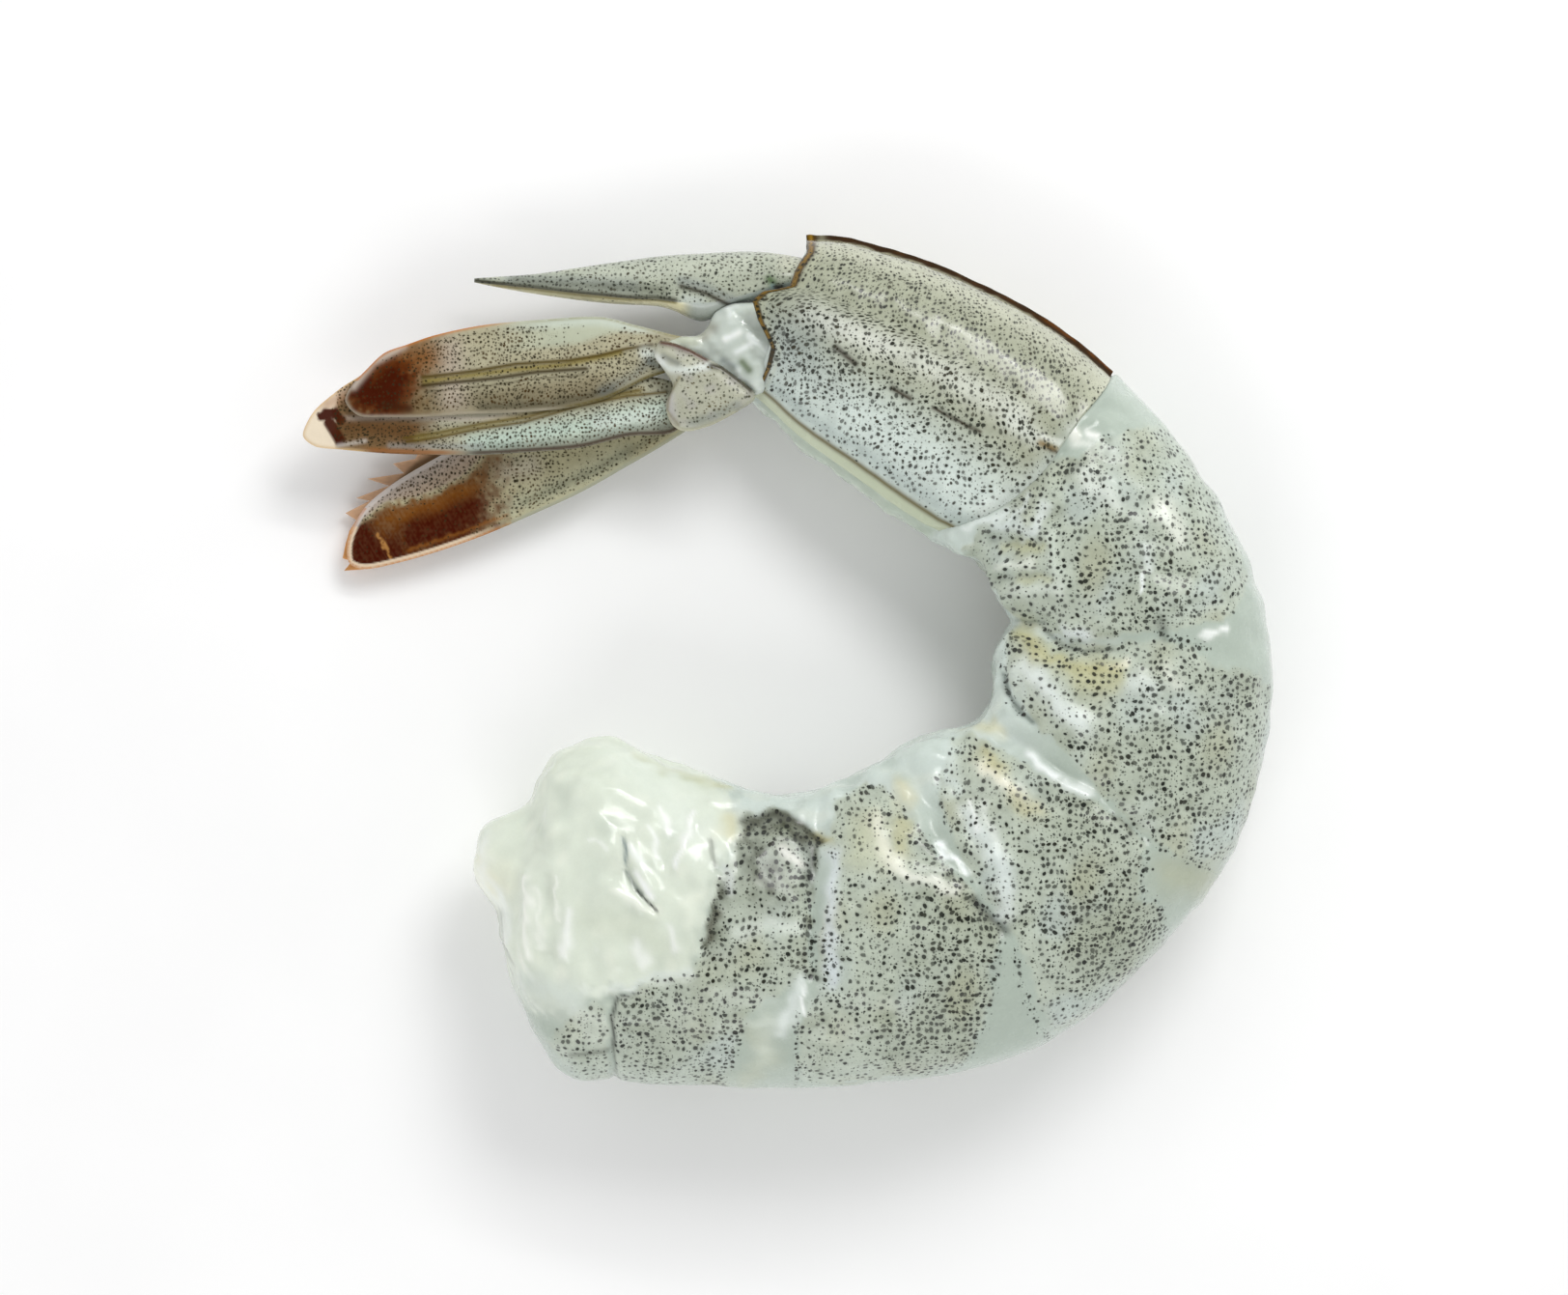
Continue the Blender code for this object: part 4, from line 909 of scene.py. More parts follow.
    n, m = s.shape
    count = n * m
    i, j = np.meshgrid(np.arange(n - 1), np.arange(m - 1), indexing="ij")
    a = (i * m + j).ravel()
    faces = np.column_stack([a, a + m, a + m + 1, a + 1]).tolist()
    faces += np.column_stack([a + count, a + 1 + count, a + m + 1 + count, a + m + count]).tolist()
    loop = list(range(m)) + [i * m + m - 1 for i in range(1, n)]
    loop += [(n - 1) * m + j for j in range(m - 2, -1, -1)] + [i * m for i in range(n - 2, 0, -1)]
    for a, b in zip(loop, loop[1:] + loop[:1]):
        faces.append([a, b, b + count, a + count])
    layers = {
        "tone": np.tile(tone.reshape(-1, 3), (2, 1)),
        "dots": np.concatenate([dots.ravel(), 0.3 * dots.ravel()]),
        "wet": np.tile(wet.ravel(), 2),
        "place": np.tile(unrolled(base, angle).reshape(-1, 2), (2, 1)),
    }
    material = wet_skin("wet_shell", (26, 29, 18), cell=0.45, small=0.055, large=0.14, roughness=0.30,
                        depth=0.8, weight=0.1)
    dark = wet_skin("shell_keel", (24, 16, 6), cell=0.4, roughness=0.55, depth=0.3, weight=0.0, coat=0.0,
                    gloss=0.02)
    narrow = np.degrees(np.abs((columns[1:] + columns[:-1]) / 2)) < KEEL_COLOUR_ANGLE
    other = np.concatenate([np.tile(narrow, n - 1), np.zeros(len(faces) - len(narrow) * (n - 1), bool)])
    verts = np.vstack([outer.reshape(-1, 3), inner.reshape(-1, 3)])
    new_piece("shrimp_shell", verts, faces, "tail_shell", material, layers, dark, other)


# Tail spike stations, tip first: x and y of its back, side ridge and underside, then half thickness.
SPIKE = np.array([
    (-22.6, 27.5, -22.6, 27.35, -22.6, 27.2, 0.12),
    (-21.2, 27.6, -21.2, 27.2, -21.2, 26.9, 0.35),
    (-18.4, 27.8, -18.4, 26.9, -18.4, 26.4, 0.8),
    (-14.9, 28.3, -14.9, 26.5, -14.9, 25.9, 1.25),
    (-11.5, 28.8, -11.5, 26.1, -11.5, 25.6, 1.65),
    (-8.0, 29.2, -8.0, 25.8, -8.0, 25.1, 2.05),
    (-6.0, 29.3, -6.0, 25.7, -6.0, 24.4, 2.3),
    (-4.4, 29.4, -4.4, 25.9, -4.4, 25.1, 2.5),
    (-1.7, 29.4, -2.0, 26.6, -2.3, 25.8, 2.7),
    (1.5, 28.9, 0.9, 27.4, 0.4, 26.4, 2.5),
])
SPIKE_HEIGHT = 4.5
SPIKE_RIDGE = 0.10


def spike():
    """The tail spike: long, tapering and speckled, with a dark side ridge and a pale underside."""
    along = np.concatenate([[0], np.cumsum(np.linalg.norm(np.diff(SPIKE[:, 2:4], axis=0), axis=1))])
    n, m = SPIKE_MESH
    v = natural(along, SPIKE, np.linspace(0, along[-1], n))
    angle = np.arange(m) * 2 * math.pi / m
    c, up = np.cos(angle), np.sin(angle)
    back, ridge, under = v[:, None, 0:2], v[:, None, 2:4], v[:, None, 4:6]
    edge = np.where(c[None, :, None] > 0, back, under)
    flat = ridge + (edge - ridge) * np.abs(c)[None, :, None]
    z = SPIKE_HEIGHT + v[:, 6:7] * up[None, :]
    p = np.concatenate([flat, z[..., None]], axis=-1)
    side = np.sign(up)[None, :] * np.ones((n, 1))
    plate = [(-7.6, 26.8), (-5.9, 26.3), (-4.5, 25.6), (-3.3, 25.15), (-2.5, 25.2), (-1.7, 25.8), (0.2, 26.2)]
    side_ridge = [(-22.0, 27.3), (-18.4, 26.9), (-14.9, 26.5), (-11.5, 26.1), (-8.0, 25.9)]
    for points, width in ((plate, 0.16), (side_ridge, 0.2)):
        p[..., 2] += side * SPIKE_RIDGE * stroke(flat, points, width)
    p[..., 2] += side * 0.03 * ripple(p, 1.6, 41)

    tone = ground(flat, (172, 178, 160))
    brush(tone, flat, [
        ([(-14.0, 27.6), (-8.0, 28.2), (-3.0, 28.6)], 0.8, (200, 206, 190), 0.4),
        ([(-20.0, 27.4), (-15.0, 27.1), (-11.0, 26.8)], 0.5, (150, 160, 160), 0.5),
        ([(-14.0, 28.4), (-8.0, 29.1), (-2.0, 29.3)], 0.35, (160, 166, 158), 0.35),
    ])
    below = flat[..., 1] < np.interp(flat[..., 0], SPIKE[:, 2], SPIKE[:, 3]) - 0.15
    pale = below * smooth(flat[..., 0], -6.6, -7.8)
    paint(tone, (240, 234, 194), 0.97 * pale)
    paint(tone, (176, 184, 180), 0.7 * below * smooth(flat[..., 0], -7.8, -6.4))
    dark_ridge = [(-22.5, 27.35), (-21.2, 27.15), (-18.4, 26.85), (-14.9, 26.4), (-11.5, 26.05), (-9.4, 26.0),
                  (-8.0, 25.8)]
    brush(tone, flat, [
        (dark_ridge, 0.19, (40, 36, 14), 0.95),
        ([(q[0], q[1] - 0.2) for q in dark_ridge[1:]], 0.08, (124, 108, 36), 0.6),
        ([(-19.6, 27.3), (-16.0, 27.0), (-12.4, 26.8), (-9.0, 26.5)], 0.5, (104, 108, 92), 0.7),
        ([(q[0], q[1] + 0.45) for q in plate], 0.4, (126, 134, 132), 0.6),
        (plate, 0.18, (36, 27, 3), 0.97),
        ([(-7.3, 25.9), (-6.2, 25.7)], 0.35, (200, 210, 206), 0.5),
        ([(-1.25, 27.3), (-1.0, 27.0)], 0.34, (64, 96, 44), 0.85),
        ([(-1.0, 26.75), (-0.9, 26.6)], 0.18, (180, 205, 208), 0.8),
        ([(-0.8, 26.7), (-0.4, 26.7)], 0.24, (30, 12, 4), 0.97),
    ])
    paint(tone, (196, 196, 176), 0.6 * smooth(flat[..., 0], -1.4, 0.2) * smooth(flat[..., 1], 27.0, 28.4))
    dots = 1.0 + 0.2 * stroke(flat, [(-6.0, 28.0), (-2.5, 28.6)], 1.0)
    dots += 0.3 * stroke(flat, [(-18.0, 27.2), (-9.0, 26.8)], 0.5)
    dots *= np.where(below, 0.1, 1.0) * smooth(flat[..., 1], 29.6, 29.0) ** 0.3
    wet = np.full(dots.shape, 0.5)
    around = np.roll(p, m // 4, axis=1)
    arc = np.cumsum(np.linalg.norm(np.diff(around, axis=1, prepend=around[:, :1]), axis=-1), axis=1)
    arc = np.roll(arc - arc[:, [m // 2]], -(m // 4), axis=1)
    place = np.stack([flat[..., 0], ridge[..., 1] - arc], axis=-1)
    verts = np.vstack([p.reshape(-1, 3), p[0].mean(axis=0), p[-1].mean(axis=0)])
    layers = {
        "tone": np.vstack([tone.reshape(-1, 3), rgb((150, 140, 100)), rgb((180, 184, 170))]),
        "dots": np.concatenate([dots.ravel(), [0, 0]]),
        "wet": np.concatenate([wet.ravel(), [0.5, 0.5]]),
        "place": np.vstack([place.reshape(-1, 2), SPIKE[0, 2:4], SPIKE[-1, 2:4]]),
    }
    material = wet_skin("wet_spike", (34, 37, 26), cell=0.40, small=0.05, large=0.10, roughness=0.32,
                        depth=0.6, weight=0.1, coat=0.25)
    new_piece("shrimp_spike", verts, loft_faces(n, m), "telson", material, layers)


def curve(points, spacing):
    """Closed smooth curve through points, evenly stepped."""
    p = np.asarray(points, float)
    n = len(p)
    out = []
    for i in range(n):
        a, b, c, d = p[i - 1], p[i], p[(i + 1) % n], p[(i + 2) % n]
        length = np.linalg.norm(c - b)
        steps = max(1, round(length / spacing))
        ta = 0.5 * (c - a) * min(1, 2 * length / (length + np.linalg.norm(b - a)))
        tb = 0.5 * (d - b) * min(1, 2 * length / (length + np.linalg.norm(d - c)))
        for k in range(steps):
            t = k / steps
            out.append((2 * t ** 3 - 3 * t ** 2 + 1) * b + (t ** 3 - 2 * t ** 2 + t) * ta
                       + (3 * t ** 2 - 2 * t ** 3) * c + (t ** 3 - t ** 2) * tb)
    return np.array(out)


def leaf(name, outline, axis, heights, edge, middle, reach, spacing, node, material, paintwork):
    """Thin closed piece over an outline; paintwork gives its colours and relief."""
    low, high = outline.min(axis=0), outline.max(axis=0)
    rows = []
    for row, y in enumerate(np.arange(low[1], high[1], spacing * 0.866)):
        x = np.arange(low[0], high[0], spacing) + spacing * 0.5 * (row % 2)
        rows.append(np.column_stack([x, np.full(len(x), y)]))
    grid = np.vstack(rows)
    ring = [tuple(q) for q in outline] + [tuple(outline[0])]
    grid = grid[inside(grid, outline)]
    grid = grid[line_distance(grid, ring) > spacing * 0.55]
    flat = np.vstack([outline, grid])
    border = list(range(len(outline)))
    rim_edges = list(zip(border, border[1:] + border[:1]))
    done = delaunay_2d_cdt([Vector(q) for q in flat], rim_edges, [border], 1, 1e-6)
    flat = np.array([tuple(q) for q in done[0]])
    root, tip = np.array(axis[0]), np.array(axis[1])
    t = ((flat - root) @ (tip - root)) / ((tip - root) @ (tip - root))
    centre = np.interp(t, [0, 0.33, 1], heights)
    from_rim = line_distance(flat, ring)
    depth = np.clip(from_rim / reach, 0, 1)
    thick = edge + (middle - edge) * np.sqrt(1 - (1 - depth) ** 2)
    tone, dots, wet, lift = paintwork(flat, from_rim)
    fade = smooth(from_rim, 0, 0.25)
    top = centre + thick / 2 + lift * fade
    bottom = centre - thick / 2 - 0.5 * lift * fade
    n = len(flat)
    verts = np.vstack([np.column_stack([flat, top]), np.column_stack([flat, bottom])])
    faces, sides = [], {}
    for a, b, c in done[2]:
        u, v = flat[b] - flat[a], flat[c] - flat[a]
        if u[0] * v[1] - u[1] * v[0] < 0:
            b, c = c, b
        faces += [(a, b, c), (a + n, c + n, b + n)]
        for pair in ((a, b), (b, c), (c, a)):
            sides[pair] = True
    for a, b in sides:
        if (b, a) not in sides:
            faces.append((a, a + n, b + n, b))
    layers = {"tone": np.tile(tone, (2, 1)), "dots": np.tile(dots, 2), "wet": np.tile(wet, 2),
              "place": np.tile(flat, (2, 1))}
    new_piece(name, verts, faces, node, material, layers)


NEAR_INNER = [
    (-5.9, 22.9), (-8.0, 23.3), (-10.8, 24.0), (-13.5, 24.6), (-17.7, 24.4), (-21.9, 24.0), (-25.3, 23.3),
    (-27.4, 22.6), (-29.0, 22.0), (-30.3, 20.8), (-31.4, 19.6), (-31.8, 18.5), (-30.8, 17.5), (-28.8, 17.4),
    (-26.2, 17.4), (-23.1, 17.6), (-19.8, 17.7), (-17.0, 17.9), (-14.9, 18.2), (-12.8, 18.8), (-10.2, 20.1),
    (-8.0, 20.9), (-6.1, 22.2),
]
NEAR_OUTER = [
    (-7.9, 19.7), (-12.2, 20.6), (-18.4, 21.5), (-25.3, 21.5), (-29.5, 21.0), (-31.6, 19.9), (-32.6, 19.2),
    (-34.0, 18.0), (-34.7, 16.9), (-34.9, 16.0), (-34.0, 15.3), (-32.3, 15.1), (-28.8, 14.8), (-25.3, 14.7),
    (-21.9, 14.7), (-18.4, 14.9), (-14.9, 15.2), (-11.5, 16.0), (-7.9, 16.5),
]
FAR_INNER = [
    (-5.6, 19.2), (-9.4, 19.2), (-13.5, 18.8), (-17.7, 17.9), (-21.9, 16.5), (-24.7, 15.0), (-26.7, 13.9),
    (-28.8, 12.6), (-30.6, 11.1), (-31.6, 9.5), (-32.0, 8.1), (-31.8, 6.9), (-30.6, 6.5), (-28.1, 7.0),
    (-25.3, 7.8), (-21.9, 9.0), (-18.4, 10.5), (-14.9, 12.1), (-11.5, 14.0), (-9.4, 15.2), (-7.6, 16.3),
    (-5.7, 17.6),
]
FAR_OUTER_SMOOTH = [
    (-28.6, 7.3), (-25.3, 8.3), (-21.9, 9.5), (-18.4, 11.0), (-14.9, 12.6), (-12.2, 14.2), (-8.7, 16.0),
    (-5.9, 17.5), (-5.9, 19.6), (-9.4, 19.6), (-14.9, 18.9), (-20.5, 17.6), (-24.7, 15.7), (-27.0, 14.7),
]
TUFTS = [
    (-28.7, 14.2), (-27.9, 13.5), (-30.6, 13.1), (-29.0, 12.6), (-31.4, 11.7), (-30.4, 11.5), (-32.2, 10.6),
    (-31.4, 10.1), (-31.9, 9.3), (-32.2, 8.3), (-32.4, 7.3), (-31.7, 7.1), (-32.3, 6.4), (-30.9, 6.5),
]
BASE = [
    (-9.1, 22.8), (-7.3, 22.4), (-5.6, 21.5), (-4.5, 20.9), (-2.4, 19.2), (-2.4, 18.5), (-4.9, 17.0),
    (-6.6, 16.4), (-7.6, 16.4), (-8.3, 16.9), (-8.7, 18.2), (-8.2, 19.6), (-8.8, 20.7), (-9.5, 21.8),
]


def near_inner_paint(flat, from_rim):
    """Speckled blade with two brown middle ridges, a brown end and a pale upper edge."""
    tone = ground(flat, (172, 167, 140))
    x, y = flat[:, 0], flat[:, 1]
    mid = [(-9.4, 22.7), (-11.5, 22.5), (-13.5, 21.9), (-14.9, 21.4), (-18.4, 21.0), (-21.9, 20.4),
           (-25.3, 20.1), (-27.0, 19.9)]
    above = y - np.interp(-x, [-q[0] for q in mid], [q[1] for q in mid])
    grain = ripple(flat, 0.7, 54) + 0.6 * ripple(flat, 0.4, 55)
    paint(tone, (182, 188, 166), 0.9 * smooth(above, 0.9, 1.6) * smooth(x, -22.0, -16.0))
    paint(tone, (194, 203, 190), 0.8 * smooth(from_rim, 1.0, 0.3) * smooth(above, 0.5, 1.2)
          * smooth(x, -22, -16))
    paint(tone, (128, 114, 84), 0.5 * smooth(above, -0.6, -1.8) * smooth(x, -12.0, -14.0))
    brush(tone, flat, [
        ([(-12.6, 19.4), (-17.0, 18.8), (-26.0, 18.5)], 0.9, (104, 96, 74), 0.5),
        ([(-12.6, 19.3), (-16.6, 18.3), (-22.0, 18.1)], 0.35, (78, 74, 58), 0.7),
    ])
    paint(tone, (112, 88, 54), 0.75 * smooth(x + 0.6 * grain, -22.6, -27.4))
    brush(tone, flat, [
        # Pinkish band across the blade: a painted highlight of glare.
        ([(-24.2, 22.2), (-24.0, 18.8)], 1.0, (186, 174, 158), 0.75),
        ([(-29.9, 20.0), (-28.0, 21.0), (-26.0, 21.7)], 1.3, (124, 74, 26), 0.8),
    ])
    brown = stroke(flat + 0.3 * grain[:, None], [(-30.2, 19.2), (-28.9, 18.9), (-28.4, 20.0)], 1.9)
    paint(tone, (92, 44, 8), 0.9 * smooth(brown, 0.1, 0.6))
    paint(tone, (62, 14, 0), 0.92 * smooth(brown, 0.45, 0.95))
    brush(tone, flat, [
        ([(-28.9, 18.2), (-27.2, 18.0)], 0.35, (58, 26, 8), 0.8),
        ([(-31.2, 19.6), (-29.8, 21.3), (-27.6, 22.5)], 0.28, (196, 184, 170), 0.8),
    ])
    paint(tone, (176, 168, 150), 0.7 * bell(from_rim, 0.16) * (y < 19.5) * smooth(x, -13.5, -17.0))
    paint(tone, (190, 112, 36), 0.85 * bell(from_rim, 0.14) * (y > 20) * smooth(x, -19.0, -22.5))
    paint(tone, (132, 126, 84), 0.6 * bell(from_rim - 0.1, 0.1) * (y > 20) * smooth(x, -20.0, -17.0))
    dark = stroke(flat, [(-9.7, 22.6), (-11.5, 22.3), (-13.5, 21.8), (-15.6, 21.45), (-19.5, 21.2),
                         (-22.4, 20.7), (-26.2, 20.25)], 0.15)
    second = stroke(flat, [(-14.4, 20.85), (-18.0, 20.6), (-21.0, 20.15), (-26.2, 19.65)], 0.16)
    third = stroke(flat, [(-14.6, 20.4), (-18.0, 20.15), (-21.0, 19.7), (-26.0, 19.2)], 0.07)
    between = stroke(flat, [(-12.0, 22.0), (-16.0, 21.15), (-20.0, 20.75), (-26.0, 19.95)], 0.26)
    paint(tone, (138, 124, 62), 0.85 * between)
    paint(tone, (74, 58, 10), 0.95 * dark)
    paint(tone, (50, 38, 12), 0.95 * second)
    paint(tone, (60, 52, 34), 0.7 * third)
    brush(tone, flat, [
        # The first stroke is the white fold at the joint, partly a painted highlight; the second is painted
        # shade beside it.
        ([(-8.0, 21.5), (-9.4, 21.9), (-10.2, 22.0)], 0.45, (214, 222, 214), 0.85),
        ([(-9.9, 21.4), (-9.0, 20.9), (-8.4, 21.3)], 0.3, (96, 108, 110), 0.6),
        ([(-13.2, 19.3), (-11.0, 20.3), (-10.0, 21.3)], 0.45, (104, 112, 112), 0.5),
    ])
    paint(tone, (92, 80, 24), 0.9 * bell(from_rim - 0.08, 0.12) * (y < 21.0) * smooth(x, -17.5, -15.0))
    lift = 0.12 * dark + 0.12 * second - 0.05 * stroke(flat, [(-14.0, 21.2), (-22.0, 20.5)], 0.12)
    lift += 0.01 * ripple(flat, 0.9, 53)
    dots = 1.15 - 0.6 * smooth(above, 0.8, 1.5) * smooth(x, -20.0, -14.5) - 0.5 * smooth(x, -25.5, -28.0)
    dots *= smooth(from_rim, 0.2, 0.5) * (1 - 0.9 * smooth(above, 1.1, 1.7) * smooth(x, -18.5, -14.0))
    dots *= 1 - np.clip(dark + second, 0, 1)
    return tone, dots, np.full(len(flat), 0.35), lift


def near_outer_paint(flat, from_rim):
    """Pale cyan-grey blade with brown ridges, dark brown spot and cream tip."""
    x, y = flat[:, 0], flat[:, 1]
    tone = ground(flat, (168, 166, 144))
    brush(tone, flat, [
        ([(-9.0, 17.9), (-14.0, 16.8), (-19.0, 16.1), (-22.5, 15.5)], 0.9, (188, 206, 192), 0.9),
        # A painted highlight near the blade's root.
        ([(-9.5, 17.6), (-13.5, 17.0)], 0.6, (206, 215, 206), 0.6),
    ])
    paint(tone, (112, 82, 46), 0.9 * smooth(x + 0.5 * ripple(flat, 0.8, 61), -24.0, -27.4))
    brush(tone, flat, [
        ([(-32.0, 17.3), (-28.0, 17.4), (-22.0, 17.3), (-18.0, 17.6)], 0.22, (188, 178, 164), 0.75),
        ([(-28.6, 15.35), (-25.5, 15.3), (-22.0, 15.3)], 0.25, (150, 152, 148), 0.6),
    ])
    cream = smooth(x + 0.25 * ripple(flat, 1.0, 62), -32.35, -32.75)
    paint(tone, (236, 222, 198), 0.95 * cream)
    paint(tone, (206, 184, 162), 0.6 * stroke(flat, [(-33.6, 18.2), (-32.0, 19.4)], 0.4))
    paint(tone, (224, 190, 140), 0.8 * bell(from_rim, 0.14) * smooth(x, -29.5, -31.0))
    paint(tone, (172, 132, 102), 0.5 * stroke(flat, [(-33.1, 18.3), (-32.0, 18.8), (-31.2, 18.4)], 0.4))
    spot = stroke(flat + 0.12 * ripple(flat, 0.7, 63)[:, None],
                  [(-33.6, 17.5), (-32.7, 17.75), (-32.2, 17.2)], 0.4)
    spot = np.maximum(spot, stroke(flat, [(-33.0, 17.0), (-32.5, 16.2), (-32.2, 15.7)], 0.44))
    paint(tone, (62, 12, 0), 0.98 * smooth(spot, 0.25, 0.6))
    brush(tone, flat, [
        ([(-31.6, 16.8), (-29.0, 16.6), (-27.0, 16.4)], 0.9, (84, 50, 18), 0.65),
        ([(-32.4, 15.35), (-30.4, 15.7)], 0.16, (206, 200, 190), 0.6),
    ])
    ridge = stroke(flat, [(-8.7, 19.2), (-11.5, 18.9), (-14.9, 18.2), (-19.0, 17.0), (-21.9, 16.6),
                          (-25.3, 15.9), (-27.4, 15.6)], 0.13)
    twin = stroke(flat, [(-10.6, 19.35), (-14.9, 18.55), (-18.6, 17.4), (-21.9, 16.95), (-25.0, 16.3),
                         (-27.6, 15.9)], 0.12)
    edge_line = stroke(flat, [(-12.5, 19.2), (-16.0, 18.6), (-18.8, 18.3)], 0.3)
    beside = stroke(flat, [(-10.6, 19.3), (-14.9, 18.4), (-21.9, 16.8), (-26.6, 15.9)], 0.32)
    paint(tone, (150, 138, 84), 0.7 * np.maximum(beside, edge_line * 0.8))
    paint(tone, (84, 66, 14), 0.9 * ridge)
    paint(tone, (88, 72, 22), 0.85 * twin)
    low_edge = bell(from_rim - 0.16, 0.2) * (y < 17.2)
    paint(tone, (58, 28, 8), 0.95 * low_edge * smooth(x, -24.5, -22.0))
    paint(tone, (146, 92, 46), 0.85 * low_edge * smooth(x, -22.5, -25.0) * smooth(x, -31.0, -29.5))
    paint(tone, (96, 110, 104), 0.45 * bell(from_rim - 0.55, 0.3) * (y < 17.2) * smooth(x, -24, -20))
    lift = 0.14 * ridge + 0.12 * twin + 0.05 * low_edge + 0.015 * ripple(flat, 0.9, 64)
    dots = 1.1 - 0.7 * stroke(flat, [(-32.0, 17.3), (-28.0, 17.4), (-20.0, 17.4)], 0.4)
    dots *= 1 - np.clip(ridge + twin + cream + low_edge, 0, 1)
    return tone, dots, np.full(len(flat), 0.5), lift


def far_inner_paint(flat, from_rim):
    """Blade with a pale rim, a grey corner and a dark brown outer half."""
    x, y = flat[:, 0], flat[:, 1]
    tone = ground(flat, (182, 176, 142))
    grain = ripple(flat, 0.8, 71) + 0.6 * ripple(flat, 0.4, 72)
    wob = flat + 0.12 * grain[:, None]
    paint(tone, (172, 174, 150), 0.7 * stroke(wob, [(-12.0, 14.6), (-16.0, 12.6), (-20.0, 11.0)], 0.9))
    paint(tone, (112, 114, 92), 0.5 * stroke(wob, [(-9.0, 16.4), (-14.0, 13.6), (-19.0, 11.4)], 0.35))
    paint(tone, (192, 184, 164), 0.75 * stroke(flat, [(-20.4, 13.6), (-18.6, 14.0)], 0.9))
    corner = depth_in(wob, [(-32.0, 10.0), (-30.6, 10.2), (-29.2, 11.3), (-26.7, 11.7), (-25.2, 12.3),
                            (-23.3, 13.3), (-22.1, 14.6), (-21.6, 17.0), (-30.0, 16.0), (-33.0, 12.0)])
    coarse = np.stack([ripple(flat, 2.2, 75), ripple(flat, 2.2, 76)], axis=-1)
    cloud = wob + 0.45 * coarse
    speck = smooth(ripple(flat, 0.32, 74) + 0.6 * grain, -0.8, 0.8)
    brown = smooth(x + 0.7 * grain + 0.5 * coarse[:, 0], -18.8, -23.2)
    brown *= smooth(corner + 0.15 * grain, 0.25, -0.6)
    paint(tone, (102, 56, 10), brown * (0.86 + 0.12 * speck))
    lighter = stroke(cloud, [(-27.6, 10.4), (-25.4, 11.0), (-23.4, 12.2)], 1.2)
    paint(tone, (136, 82, 20), 0.6 * brown * lighter)
    paint(tone, (142, 92, 34), 0.4 * smooth(grain, 0.4, 1.5) * brown)
    deep = np.maximum(stroke(cloud, [(-31.0, 9.2), (-30.6, 7.6), (-29.0, 7.6)], 1.5),
                      stroke(cloud, [(-27.0, 8.9), (-24.4, 9.9), (-22.2, 10.7)], 1.5))
    paint(tone, (62, 9, 0), np.clip(1.15 * deep, 0, 0.97) * brown * (0.84 + 0.16 * speck))
    paint(tone, (196, 142, 78), 0.7 * stroke(wob, [(-29.8, 9.0), (-29.1, 8.0), (-28.8, 7.3)], 0.09))
    paint(tone, (150, 94, 36), 0.5 * stroke(wob, [(-27.4, 7.9), (-23.5, 9.2), (-20.4, 10.4)], 0.12))
    grey = smooth(corner, -0.1, 0.3)
    paint(tone, (172, 152, 134), 0.9 * grey)
    paint(tone, (178, 168, 160), 0.6 * grey * smooth(from_rim, 1.6, 0.5))
    outer_half = smooth(x, -20.0, -24.0)
    rim = smooth(from_rim, 0.42, 0.3) * outer_half
    paint(tone, (204, 196, 190), 0.85 * rim * (y > 9.6))
    paint(tone, (232, 212, 184), 0.9 * rim * (y <= 9.6))
    paint(tone, (190, 112, 30), 0.8 * bell(from_rim - 0.06, 0.09) * smooth(x, -19.0, -22.0) * (y < 11.0))
    paint(tone, (150, 158, 148), 0.5 * smooth(from_rim, 0.3, 0.12) * (x > -20.0))
    lift = 0.05 * stroke(flat, [(-10.0, 17.6), (-18.0, 14.6), (-26.0, 11.4)], 0.4)
    lift += 0.01 * ripple(flat, 1.2, 73)
    dots = 1.1 * (1 - 0.8 * brown) * smooth(from_rim, 0.2, 0.45)
    dots *= 1 - 0.5 * stroke(flat, [(-11.0, 15.6), (-16.0, 14.0)], 0.8)
    return tone, dots, np.full(len(flat), 0.35), lift


def far_outer_paint(flat, from_rim):
    """Mostly hidden blade; brown outer half and a peach fringe of hairs."""
    x, y = flat[:, 0], flat[:, 1]
    tone = ground(flat, (168, 168, 148))
    paint(tone, (120, 78, 36), 0.8 * smooth(x, -20.0, -25.0))
    fringe = depth_in(flat, [(-27.0, 14.2), (-29.4, 11.9), (-31.0, 9.4), (-31.4, 7.2), (-29.0, 7.0),
                             (-18.0, 11.6), (-10.0, 17.0), (-16.0, 19.0)])
    paint(tone, (216, 176, 142), 0.9 * smooth(fringe, 0.1, -0.25) * smooth(x, -25.0, -27.0))
    paint(tone, (204, 140, 70), 0.75 * smooth(fringe, 0.1, -0.25) * smooth(y, 10.6, 9.0)
          * smooth(x, -29.0, -30.5))
    hair = ripple(flat * (0.35, 1.0), 0.28, 82)
    tone *= (1 + 0.10 * hair * smooth(fringe, 0.1, -0.2))[:, None]
    dots = 0.6 * smooth(x, -26.0, -22.0) * smooth(from_rim, 0.3, 0.6)
    return tone, dots, np.full(len(flat), 0.3), 0.02 * ripple(flat, 1.0, 83)


